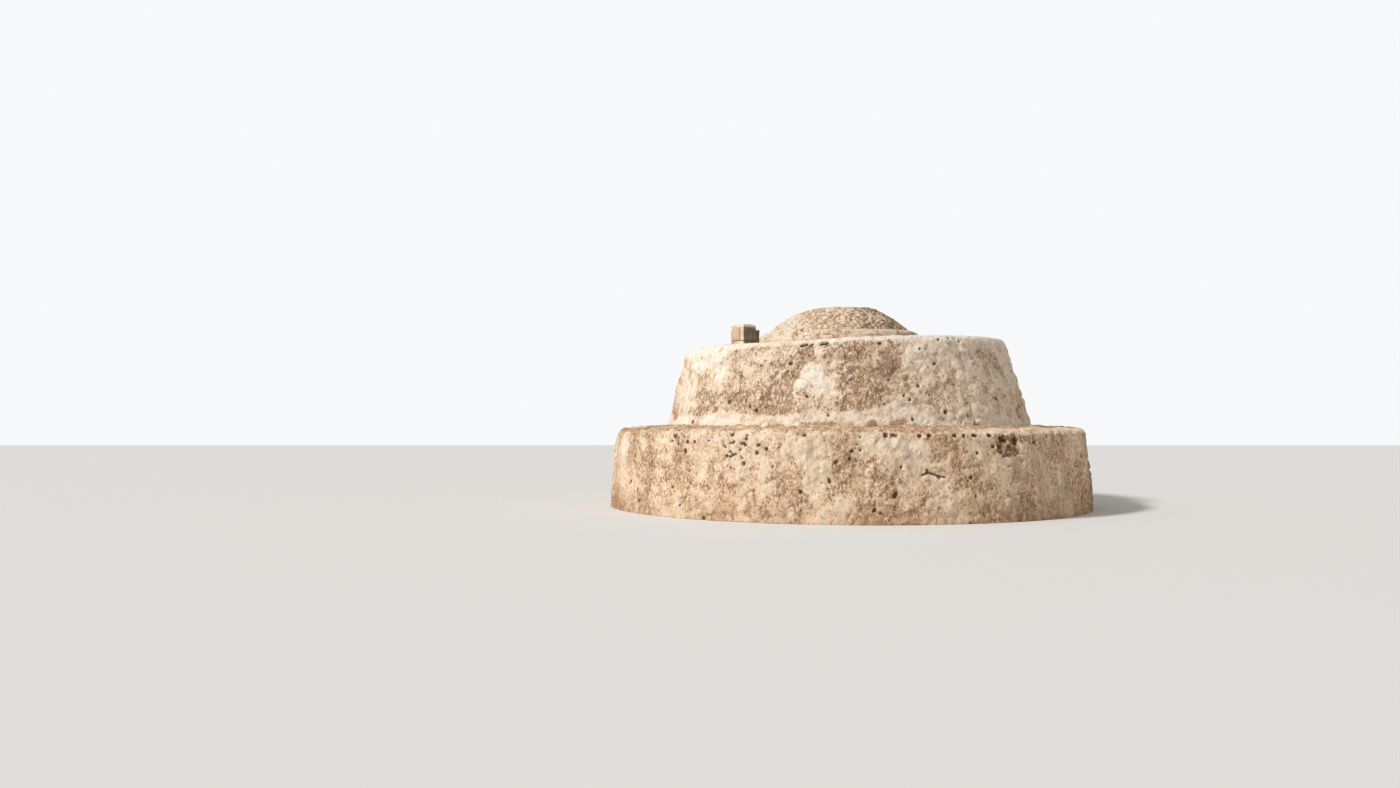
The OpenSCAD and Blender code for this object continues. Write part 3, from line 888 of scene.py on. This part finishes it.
def in_rings(per_ring):
    """The ring of each stone and its angle round the axis; every second ring starts half a
    stone further on."""
    ring = np.repeat(np.arange(len(per_ring)), per_ring)
    turn = [(np.arange(n) + 0.5 * (k % 2)) / n for k, n in enumerate(per_ring)]
    return ring, np.concatenate(turn) * 2 * math.pi


def blocks_piece(name, points, template, slot, material, seed, replaced=(), **shades):
    """One piece of many blocks; points is (blocks, corners, 3). Each block gets a tone."""
    count, corners = points.shape[:2]
    faces = template[1] + np.arange(count)[:, None, None] * corners
    tone = np.repeat(numbers_for(count, 1, seed)[0][:, None], corners, axis=1)
    piece_of(name, points, faces, {"tone": tone, **shades}, material, replaced)


# %% [markdown]
# Bare stone has no lime to tie it together. Each stone keeps a tone of its own, from pale
# straw to a red brown, with lichen grey on some, and the mortar or earth between them is
# a little darker.


# %% Bare stone finishes
def bare_stone(name, pale, warm, grey, size=1.0, pitted=0.4, painted_shade_and_joints=(88, 82, 75)):
    """Pale to warm by the stone's own number, then a grey bloom, pits, smears of lime, and a
    darker colour where the stain attribute asks: painted shade on the dome and the chimney,
    dark joints on the inner rubble. On the dome the smears are partly painted light."""
    finish = Finish(bpy.data.materials.new(name))
    grain = finish.noise(60 * size, 6)
    blotch = finish.noise(9 * size, 4)
    warmth = finish.shade("tone") * 0.9 + (blotch - 0.5) * 0.7
    smear = finish.shade("smear") + (blotch - 0.5) * 1.6
    colour = finish.coats(
        pale,
        (warm, warmth.between(0.25, 0.95)),
        (grey, finish.noise(5 * size, 4).between(0.52, 0.72) * 0.6),
        ((105, 80, 58), (grain + (blotch - 0.5) * 0.6).between(0.60, 0.80) * pitted),
        ((240, 227, 208), smear.between(0.45, 0.65) * 0.85),
        # The stain colour is painted shade on the dome and the chimney, and dark joints on the inner
        # rubble.
        (painted_shade_and_joints, finish.shade("stain") * (0.35 + blotch * 0.6)),
    )
    return finish.surface(colour, 0.93, grain * 0.6 + blotch * 0.6, 0.010)


# The dome's darker brown is painted shade for its right side, away from the lamp.
PAINTED_SHADE_BROWN = (98, 76, 56)
DOME_STONE = bare_stone("dome rubble", (240, 219, 194), (206, 170, 136), (190, 170, 148), painted_shade_and_joints=PAINTED_SHADE_BROWN)
DOME_BED = bare_stone("dome earth mortar", (208, 178, 146), (172, 134, 102), (160, 140, 118), painted_shade_and_joints=PAINTED_SHADE_BROWN)
COLLAR_STONE = bare_stone("collar stone", (240, 224, 204), (212, 180, 148), (186, 166, 144), 1.0, 0.5)
TUFA = bare_stone("cut tufa", (222, 199, 175), (196, 167, 139), (176, 156, 136), 0.8, 0.5)
CAP_MORTAR = bare_stone("cap mortar", (236, 224, 208), (214, 196, 176), (196, 184, 168), 1.2, 0.25)
INNER_STONE = bare_stone("inner stone", (206, 188, 164), (168, 142, 114), (150, 138, 122), 0.7)
DOOR_STONE = bare_stone("door stone", (232, 212, 186), (204, 174, 142), (186, 166, 142), 0.8, 0.6)
ROOF_STONE = bare_stone("roof slab stone", (212, 194, 168), (176, 150, 122), (156, 144, 128), 0.6)

# %% [markdown]
# The small dome is bare rubble over the vault: a low bed of earth mortar with stones of a
# hand's width pressed into it, ring by ring, with a few thrown on by eye. The outline has
# the part's own formula, so the stones sit just inside the solid dome.


# %% Outline and weather of the dome
def dome_side(height):
    """The part's dome: the flat spot's radius plus the rest times the square root of one
    minus the height share raised to the fullness."""
    share = np.clip(height / DOME_HEIGHT, 0, 1) ** DOME_POWER
    return DOME_FLAT + (DOME_RADIUS - DOME_FLAT) * np.sqrt(1 - share)


DOME_PLACE = np.array([CORE_OFFSET, 0, TERRACE_HEIGHT])
COLLAR_TOP = COLLAR_HEIGHT + COLLAR_RISE
SWELL, SWELL_REACH = (0.56, 0, TERRACE_HEIGHT + 0.80), (0.60, 0.9, 0.6)
dome_heights = COLLAR_TOP + (DOME_HEIGHT - COLLAR_TOP) * np.sin(np.linspace(0, math.pi / 2, 40))
dome_profile = [*zip(dome_side(dome_heights), dome_heights), (0.01, DOME_HEIGHT)]
collar_profile = [
    (DOME_RADIUS, -0.12),
    (DOME_RADIUS, 0.0),
    (COLLAR_RADIUS + 0.015, COLLAR_HEIGHT - 0.045),
    (COLLAR_RADIUS - 0.035, COLLAR_HEIGHT + 0.002),
    (dome_side(COLLAR_TOP) - 0.12, COLLAR_TOP + 0.01),
]


def lime_and_painted_light_left(points):
    """How much paler the dome's left flank is, from the crown's left down to the foot: partly lime smeared
    on it and partly painted light on the side that faces the lamp.
    """
    return 0.62 * smooth(-0.5, -1.3, points[..., 0])


def painted_shade_right(points):
    """How much painted shade darkens the dome: it starts right of the crown, on the side away from the
    lamp, and thins out towards the right foot."""
    x = points[..., 0]
    return 0.85 * smooth(-0.1, 0.45, x) * (1 - 0.5 * smooth(0.95, 1.2, x))


def swelled(points):
    """Lifts the rubble a little where the crown breaks off to the right, up to the part's
    own height."""
    up = points[..., 2] + 0.05 * near_spot(points, SWELL, SWELL_REACH)
    up = np.minimum(up, TERRACE_HEIGHT + DOME_HEIGHT - 0.002)
    return np.concatenate([points[..., :2], up[..., None]], axis=-1)


# %% Dome bed and collar
def all_round(count):
    """Angles in even steps round the axis."""
    return np.linspace(0, 2 * math.pi, count, endpoint=False)


def dome_bed():
    """The earth mortar between the stones, a little below the solid dome's face."""
    points, facing = turned_steps(dome_profile, all_round(280), 0.04)
    points = points + DOME_PLACE
    relief = uneven(points, 0.3, 400, 0.04) - 0.034
    points = swelled(points + facing * relief[..., None])
    # Here stain is painted shade on the right, and smear is partly lime and partly painted light on the
    # left.
    shades = {"tone": fractal(points, 0.2, 411, 2), "stain": painted_shade_right(points), "smear": lime_and_painted_light_left(points)}
    skin("dome_bed", points, shades, DOME_BED, closed=True)


def dome_collar():
    """The mortar of the collar; the flat stones are pressed into it."""
    points, facing = turned_steps(collar_profile, all_round(420), 0.028)
    points = points + DOME_PLACE
    lime = 0.66 + uneven(points, 0.35, 420, 0.9)
    relief, joint, pit, own = wall_relief(points, lime, 0.05, 430)
    points = points + facing * (relief * 0.4 - 0.012)[..., None]
    shades = {
        "lime": lime,
        "tone": own,
        "grime": 0.15 + uneven(points, 0.6, 433, 0.5),
        "hollow": np.clip(joint * 0.2 + pit * 0.9, 0, 1),
    }
    replaced = named("dome_", "front", "right", "back", "left")
    skin("dome_collar_skin", points, shades, UPPER_LIME, replaced, closed=True)


dome_bed()
dome_collar()


# %% [markdown]
# Every stone is laid on the dome's outline: its flat side along the slope, its length along
# the ring. The collar has three courses of long flat stones, closer set than the rubble.


# %% Dome stones
COLLAR_RINGS, COLLAR_PER_RING = 3, 34
RING_APART, STONE_APART = 0.078, 0.118


def dome_frame(spot, turn, steps):
    """Places on the dome at a run along its resampled profile and an angle round it, with
    the directions along the ring, up the slope and out."""
    profile, normals, at = steps
    r, z, out_r, out_z = (np.interp(spot, at, column) for column in (*profile.T, *normals.T))
    around = joined(np.cos(turn), np.sin(turn))
    out = np.concatenate([out_r[:, None] * around, out_z[:, None]], axis=-1)
    out = out / np.linalg.norm(out, axis=-1, keepdims=True)
    side = joined(-around[:, 1], around[:, 0], 0)
    place = np.concatenate([r[:, None] * around, z[:, None]], axis=-1) + DOME_PLACE
    return place, side, np.cross(out, side), out


def collar_stones():
    """Rings of flat stones up the collar's slope, the length of each its own."""
    steps = even_steps(collar_profile[1:3], 0.01)
    ring, turn = in_rings([COLLAR_PER_RING] * COLLAR_RINGS)
    random = numbers_for(len(ring), 5, 450)
    turn = turn + 0.3 * (random[0] - 0.5) * 2 * math.pi / COLLAR_PER_RING
    place, side, up, out = dome_frame(steps[2][-1] * (ring + 0.5) / COLLAR_RINGS, turn, steps)
    halves = joined(0.11 + 0.07 * random[1], 0.034 + 0.014 * random[2], 0.05)
    centres = place - out * (halves[:, 2:] + 0.002 + 0.016 * random[3][:, None])
    template = block_template(4, 0.16)
    points = laid(template, centres, halves, np.stack([side, up, out], axis=1), 460, 0.16)
    blocks_piece("dome_collar_stones", points, template, "dome_rubble", COLLAR_STONE, 470)


def dome_stones():
    """Rings of stones up the dome's profile: each ring holds as many as fit round it, and
    each stone is slid, sized and turned by its own random numbers."""
    steps = even_steps(dome_profile, 0.01)
    profile, _, at = steps
    ring_at = np.arange(0.03, at[-1], RING_APART)
    radius_at = np.interp(ring_at, at, profile[:, 0])
    ring, turn = in_rings(np.maximum(np.round(2 * math.pi * radius_at / STONE_APART).astype(int), 1))
    random = numbers_for(len(ring), 7, 500)
    spot = np.clip(ring_at[ring] + (random[0] - 0.5) * 0.06, 0, at[-1])
    turn = turn + (random[1] - 0.5) * 0.07 / np.maximum(radius_at[ring], 0.2)
    place, side, up, out = dome_frame(spot, turn, steps)
    spin = ((random[2] - 0.5) * 1.4)[:, None]
    axes = [side * np.cos(spin) + up * np.sin(spin), up * np.cos(spin) - side * np.sin(spin), out]
    halves = joined(0.036 + 0.044 * random[3], 0.026 + 0.024 * random[4], 0.026 + 0.012 * random[5])
    centres = place - out * (halves[:, 2:] + 0.009 + 0.016 * random[6][:, None] ** 2)
    template = block_template(2, 0.30)
    points = swelled(laid(template, centres, halves, np.stack(axes, axis=1), 520, 0.30))
    # The stain is painted shade on the dome's right, broken up by noise.
    stain = painted_shade_right(points) * smooth(0.20, 0.50, fractal(points, 0.5, 540, 2))
    shades = {"stain": stain, "smear": lime_and_painted_light_left(points)}
    blocks_piece("dome_stones", points, template, "dome_rubble", DOME_STONE, 530, ["dome_crown"], **shades)
    print("dome stones", len(ring))


collar_stones()
dome_stones()

# %% [markdown]
# The chimney is two courses of sawn tufa round a flue, with a thin mortar cap and a lower
# block set back at its right end. The stones of one course lie across the joints of the
# other. Each keeps its sawn faces and loses a little at the edges. The face in shade gets
# painted shade, darker paint for the side away from the lamp, and mortar is smeared up the
# corner beside it.


# %% Chimney courses
CHIMNEY_PLACE = (-2.25, -1.10, 0)
CHIMNEY_TURN = math.radians(41)
CHIMNEY_WIDTH = 0.36
CHIMNEY_DEPTH = 0.40
FLUE_SIDE = 0.17
SIDE_BLOCK_WIDTH = 0.15
SIDE_BLOCK_SETBACK = 0.05
SAW_CUT = 0.003


def at_chimney(points):
    """Turns and moves points given in the chimney's own directions."""
    c, s = math.cos(CHIMNEY_TURN), math.sin(CHIMNEY_TURN)
    x, y, z = apart(points)
    return joined(x * c - y * s, x * s + y * c, z) + CHIMNEY_PLACE


def chimney_stones(name, plan, seed):
    """Sawn blocks from a plan of (x, y, half width, half depth), one for each block."""
    low, high = (corner[2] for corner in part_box(name))
    plan = np.array(plan)
    level = np.full((len(plan), 1), (low + high) / 2)
    centres = np.concatenate([plan[:, :2], level], axis=-1)
    halves = np.concatenate([plan[:, 2:], 0 * level + (high - low) / 2], axis=-1) - SAW_CUT
    template = block_template(9, 0.05)
    local = laid(template, centres, halves, np.eye(3), seed, 0.03)
    points = roughened(at_chimney(local), 0.012, 0.05, seed + 9, 2)
    x, y, z = apart(local)
    # The face towards -Y is the one in shade, and its stain is painted shade.
    painted_shade_face = smooth(0.0, -0.004, y - (centres - halves)[:, 1].min() - 0.012)
    left, half_depth = x + CHIMNEY_WIDTH / 2, CHIMNEY_DEPTH / 2
    corner = np.minimum(np.hypot(left, y + half_depth), 0.02 + np.hypot(left, y - half_depth))
    corner = corner + 0.30 * (fractal(points, 0.09, seed + 13, 3) - 0.45)
    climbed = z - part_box("chimney_lower_course")[0][2]
    spread = 0.10 + 0.07 * smooth(0.34, 0.06, climbed)
    smear = (1 - smooth(0.35 * spread, spread, corner)) * (1 - 0.6 * painted_shade_face)
    shades = {"stain": painted_shade_face * 1.1, "smear": 0.95 * smear}
    blocks_piece(name + "_blocks", points, template, "chimney_tufa", TUFA, seed, [name], **shades)


def chasing_blocks(way):
    """Four blocks round the flue, each with one end against the next one's side; way is 1
    or -1 and swaps the ends, which puts the joints of two courses apart."""
    x_wall, y_wall = (CHIMNEY_WIDTH - FLUE_SIDE) / 4, (CHIMNEY_DEPTH - FLUE_SIDE) / 4
    x_mid, y_mid = (CHIMNEY_WIDTH + FLUE_SIDE) / 4, (CHIMNEY_DEPTH + FLUE_SIDE) / 4
    return [
        (-way * x_wall, -y_mid, CHIMNEY_WIDTH / 2 - x_wall, y_wall),
        (way * x_wall, y_mid, CHIMNEY_WIDTH / 2 - x_wall, y_wall),
        (x_mid, -way * y_wall, x_wall, CHIMNEY_DEPTH / 2 - y_wall),
        (-x_mid, way * y_wall, x_wall, CHIMNEY_DEPTH / 2 - y_wall),
    ]


side_x, side_y = (CHIMNEY_WIDTH + SIDE_BLOCK_WIDTH) / 2, SIDE_BLOCK_SETBACK / 2
side_block = (side_x, side_y, SIDE_BLOCK_WIDTH / 2, CHIMNEY_DEPTH / 2 - side_y)
chimney_stones("chimney_lower_course", chasing_blocks(-1), 610)
chimney_stones("chimney_upper_course", chasing_blocks(1), 620)
chimney_stones("chimney_side_block", [side_block], 640)

# %% [markdown]
# Two things on the chimney are lime mortar: the uneven cap round the flue, and the fillet
# that keeps the rain out of the joint with the terrace. Both are square rings, so both are a
# cross-section carried round a square with rounded corners.


# %% Chimney cap and foot
RING_DEPTHS = (0.016, 0.016, 0.026)


def square_ring(outline, half_x, half_y, count):
    """Carries a cross-section of (outwards, height) round a rounded rectangle, where x and
    y are the sixth roots of cos and sin of the angle, times the half sides."""
    angles = all_round(count)
    x, y = (np.sign(part) * np.abs(part) ** (1 / 6) for part in (np.cos(angles), np.sin(angles)))
    size = np.maximum(np.abs(x), np.abs(y))
    x, y = x / size, y / size
    out, height = outline[:, :1], outline[:, 1:]
    return joined(x * (half_x + out), y * (half_y + out), height)


def mortar_ring(name, outline, inset, seed, replaced=(), heap=0.0):
    """A ring of mortar, its outline measured from the chimney's faces less the inset; heap
    makes it climb the corner between the lit and shaded faces."""
    half_x, half_y = CHIMNEY_WIDTH / 2 - inset, CHIMNEY_DEPTH / 2 - inset
    outline = even_steps(outline, 0.011)[0]
    ring = square_ring(outline, half_x, half_y, 260)
    corner = np.hypot(ring[..., 0] + half_x, ring[..., 1] + half_y)
    ring[..., 2] += heap * np.exp(-((corner / 0.10) ** 2)) * (ring[..., 2] - outline[0, 1])
    points = at_chimney(ring)
    points = points + joined(*(uneven(points, 0.10, seed, depth) for depth in RING_DEPTHS))
    shades = {"tone": fractal(points, 0.1, seed + 5, 2)}
    skin(name, points, shades, CAP_MORTAR, replaced, closed=True)


cap_low, cap_high = (corner[2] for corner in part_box("chimney_cap"))
cap_in = -(CHIMNEY_WIDTH - FLUE_SIDE) / 2
cap_outline = [
    (cap_in, cap_low - 0.01),
    (0.0, cap_low - 0.01),
    (0.010, cap_low + 0.012),
    (0.004, cap_low + 0.034),
    (-0.022, cap_high - 0.010),
    (cap_in * 0.7, cap_high - 0.006),
    (cap_in, cap_high - 0.030),
    (cap_in, cap_low - 0.01),
]
foot_low = TERRACE_HEIGHT + CHIMNEY_PLACE[0] * math.tan(TERRACE_TILT)
foot_outline = np.array([(0.10, -0.05), (0.06, 0.008), (0.02, 0.045), (-0.03, 0.09)]) + [0, foot_low]
mortar_ring("chimney_cap_mortar", cap_outline, 0.012, 650, ["chimney_cap"])
mortar_ring("chimney_foot_mortar", foot_outline, 0.0, 660, heap=0.6)

# %% [markdown]
# The doorway is at the back, where the photograph doesn't reach. Houses of this kind have a
# low straight opening between squared jamb stones, long and short by turns, under one long
# lintel. The lime of the wall stops against them.


# %% Jamb stones and lintel
JAMB_COURSES = 6
JAMB_LONG, JAMB_SHORT = 0.36, 0.23
JAMB_DEPTH = 0.36
PROUD = 0.010
LEANING = [
    [1, 0, 0],
    [0, math.cos(LOWER_LEAN), math.sin(LOWER_LEAN)],
    [0, -math.sin(LOWER_LEAN), math.cos(LOWER_LEAN)],
]


def wall_face(x, height):
    """How far back the round leaning wall reaches beside the doorway."""
    return np.sqrt((BASE_RADIUS - height * math.tan(LOWER_LEAN)) ** 2 - x**2)


def jamb_stones():
    """Squared stones up both sides of the doorway, long and short by turns, that lean with
    the wall and stand proud of it by a hair or less."""
    course, side = (part.ravel() for part in np.meshgrid(np.arange(JAMB_COURSES), [-1, 1], indexing="ij"))
    random = numbers_for(len(course), 3, 710)
    tall = DOOR_HEIGHT / JAMB_COURSES
    width = np.where((course + (side > 0)) % 2 == 0, JAMB_LONG, JAMB_SHORT) + 0.05 * (random[0] - 0.5)
    x, z = side * (DOOR_WIDTH / 2 + width / 2), (course + 0.5) * tall
    y = wall_face(x, z) - JAMB_DEPTH / 2 + PROUD * (2 * random[1] - 1)
    halves = joined(width / 2 - 0.002, JAMB_DEPTH / 2, tall / 2 - 0.003)
    template = block_template(10, 0.10)
    points = laid(template, joined(x, y, z), halves, LEANING, 720, 0.06)
    points = roughened(points, 0.014, 0.12, 725)
    points[..., 2] = np.maximum(points[..., 2], 0)
    blocks_piece("jamb_stones", points, template, "roof_stone", DOOR_STONE, 730)


def lintel_stone():
    """One long block of the lintel's own size, moved to the leaning face of the wall."""
    low, high = (np.array([corner]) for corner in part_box("door_lintel"))
    centre, halves = (low + high) / 2, (high - low) / 2
    centre[0, 1] = wall_face(0.0, centre[0, 2]) + 0.004 - halves[0, 1]
    template = block_template(16, 0.03)
    points = roughened(laid(template, centre, halves, LEANING, 740, 0.03), 0.014, 0.12, 745)
    blocks_piece("lintel_stone", points, template, "roof_stone", DOOR_STONE, 750, ["door_lintel"])


jamb_stones()
lintel_stone()

# %% [markdown]
# Behind the doorway a short passage runs through three metres of wall. Its sides and the
# round wall of the room are coursed rubble without lime, so they are skins with joints.


# %% Passage sides and room wall
RUBBLE_SIZE = (0.30, 0.30, 0.19)


def rubble_relief(points, seed):
    """Coursed stones that stand out to nought, with joints up to 4 cm deep."""
    _, gap, own = stones(points, RUBBLE_SIZE, seed)
    joint = 1 - smooth(0.03, 0.26, gap)
    relief = 0.016 * (own - 1) - 0.035 * joint + 0.022 * (fractal(points, 0.35, seed + 3, 2) - 1)
    return relief, {"tone": own, "stain": 0.6 * joint}


def passage_side(name, side):
    """A flat grid that looks across the passage, from the room's corner to behind the
    jambs. Its relief dies away at the corner, where it meets the wall of the room."""
    corner = math.sqrt(ROOM_RADIUS**2 - (side * DOOR_WIDTH / 2 - CORE_OFFSET) ** 2)
    along = np.linspace(corner, wall_face(0.4, LEDGE_HEIGHT) - 0.02, 100)[::-side]
    up = np.linspace(0, DOOR_HEIGHT + 0.02, 50)[:, None]
    points = joined(side * DOOR_WIDTH / 2, along, up)
    relief, shades = rubble_relief(points, 760)
    points[..., 0] -= side * relief * smooth(0.0, 0.10, along - corner)
    skin(name, points, shades, INNER_STONE)


def room_wall():
    """The round wall that looks into the room, without the cells of the doorway. Two of
    its columns stand on the doorway's corners, and its relief dies away towards them."""
    heights = np.arange(0, LEDGE_HEIGHT + 0.02, 0.034)
    sides = (np.array([-1, 1]) * DOOR_WIDTH / 2 - CORE_OFFSET) / ROOM_RADIUS
    angles = np.union1d(all_round(360), np.arccos(sides))[::-1]
    profile = joined(ROOM_RADIUS, heights)
    points, facing = turned(profile, np.tile([-1.0, 0.0], (len(heights), 1)), angles)
    relief, shades = rubble_relief(points, 770)
    points = points + [CORE_OFFSET, 0, 0]
    x, y, z = apart(points)
    edge = smooth(0.0, 0.10, np.abs(x) - DOOR_WIDTH / 2)
    relief = relief * np.where((y > 0) & (z < LINTEL_TOP), edge, 1.0)
    points = points + facing * relief[..., None]
    middle = (points[:-1] + points[1:]) / 2
    x, y, z = apart((middle + np.roll(middle, -1, axis=1)) / 2)
    doorway = (np.abs(x) < DOOR_WIDTH / 2) & (y > 0) & (z < LINTEL_TOP)
    skin("room_wall_face", points, shades, INNER_STONE, closed=True, keep=~doorway)


passage_side("passage_side_left", -1)
passage_side("passage_side_right", 1)
room_wall()

# %% [markdown]
# The vault is the builder's real craft: rings of flat stones, each reaching further in than
# the ring below, until one slab closes the eye. A ring is a row of blocks bent round the
# axis: a block's width becomes an angle, its depth a radius.


# %% Vault stones
VAULT_COURSES = 8
CORBEL_DEPTH = 0.70
STONE_WIDTH, STONE_DEPTH = 0.30, 0.45


def vault_stones():
    """The stones of every ring, from the height, the thickness and the inner radius that
    the boxes of the solid rings give."""
    courses = [f"vault_course_{course}" for course in range(1, VAULT_COURSES + 1)]
    low, high = np.array([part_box(course) for course in courses]).swapaxes(0, 1)
    inside = (high[:, 0] - low[:, 0]) / 2 - CORBEL_DEPTH
    per_ring = np.round(2 * math.pi * inside / STONE_WIDTH).astype(int)
    ring, turn = in_rings(per_ring)
    random = numbers_for(len(ring), 3, 800)
    template = block_template(4, 0.12)
    across, inwards, upward = apart(worn_shapes(len(ring), template, 810, 0.05))
    half_angle = (math.pi / per_ring[ring] * (0.93 + 0.06 * random[0]))[:, None]
    angle = turn[:, None] + across * half_angle
    radius = inside[ring][:, None] + 0.022 * random[1][:, None] + (inwards + 1) / 2 * STONE_DEPTH
    low, high = low[ring, 2:], high[ring, 2:]
    height = (low + high) / 2 + upward * (high - low) / 2 * 0.985
    points = joined(CORE_OFFSET + radius * np.cos(angle), radius * np.sin(angle), height)
    blocks_piece("vault_stones", points, template, "vault_stone", INNER_STONE, 820, courses)
    print("vault stones", len(ring), "in rings of", per_ring.tolist())


vault_stones()
for name in ("closing_slab", *named("passage_slab_", "outer", "middle", "inner")):
    for place in frame["nodes"][name].material_slots:
        place.material = ROOF_STONE

# %% [markdown]
# The studio is plain: a pale floor, one broad lamp to the left as the sun stood, and an
# even pale world. The camera stands where the photographer stood, at eye height.

# %% Floor, lamps and camera
FLOOR_REACH = 60.0
EYE_HEIGHT = 1.77
CAMERA_AWAY = 24.0
HOUSE_RIGHT_OF_MIDDLE = 3.15
LENS_PIXELS = 1104.0
PHOTO_WIDTH = 1400.0
HORIZON_BELOW_MIDDLE = 28.0


def studio_floor():
    """One pale square under the house, far wider than the picture."""
    mesh = bpy.data.meshes.new("studio_floor")
    corners = [(x * FLOOR_REACH, y * FLOOR_REACH, 0) for x, y in ((-1, -1), (1, -1), (1, 1), (-1, 1))]
    mesh.from_pydata(corners, [], [(0, 1, 2, 3)])
    finish = Finish(bpy.data.materials.new("studio floor"))
    mesh.materials.append(finish.surface((0.80, 0.79, 0.77, 1.0), 0.9))
    floor = in_scene("studio_floor", mesh)


def studio_light():
    """A sun with soft shadows, and a world that looks brighter than it shines: what the
    camera sees straight on isn't what fills the shadows."""
    sun = bpy.data.lights.new("studio_sun", "SUN")
    sun.energy = 2.5
    sun.angle = math.radians(8)
    lamp = in_scene("studio_sun", sun)
    lamp.rotation_euler = (math.radians(50), 0, math.radians(-63))
    world = Finish(bpy.data.worlds.new("studio_world"))
    seen = world.add("Background", {}, {"Color": (0.93, 0.94, 0.95, 1), "Strength": 1.0})
    fill = world.add("Background", {}, {"Color": (1.0, 0.98, 0.95, 1), "Strength": 0.42})
    straight = world.add("LightPath", output="Is Camera Ray")
    both = world.add("MixShader", {}, {0: straight, 1: fill, 2: seen})
    world.add("OutputWorld", {}, {"Surface": both})
    bpy.context.scene.world = world.owner


def photo_camera():
    """A lens as wide as the photograph's, level but for the little that its horizon lies
    below the middle."""
    data = bpy.data.cameras.new("photo_camera")
    data.sensor_width = 36.0
    data.lens = data.sensor_width * LENS_PIXELS / PHOTO_WIDTH
    data.clip_end = 200.0
    camera = in_scene("photo_camera", data)
    camera.location = (-HOUSE_RIGHT_OF_MIDDLE, -CAMERA_AWAY, EYE_HEIGHT)
    camera.rotation_euler = (math.radians(90) + math.atan(HORIZON_BELOW_MIDDLE / LENS_PIXELS), 0, 0)
    bpy.context.scene.camera = camera


studio_floor()
studio_light()
photo_camera()
bpy.context.scene.view_settings.view_transform = "Standard"

# %% [markdown]
# The number of triangles that the house has as a whole is printed. The pieces have to stay
# inside the imported solids' box.

# %% Number of triangles
triangles = 2 * sum(len(piece.data.polygons) for piece in bpy.data.objects if piece.type == "MESH")
print("triangles at most", triangles)
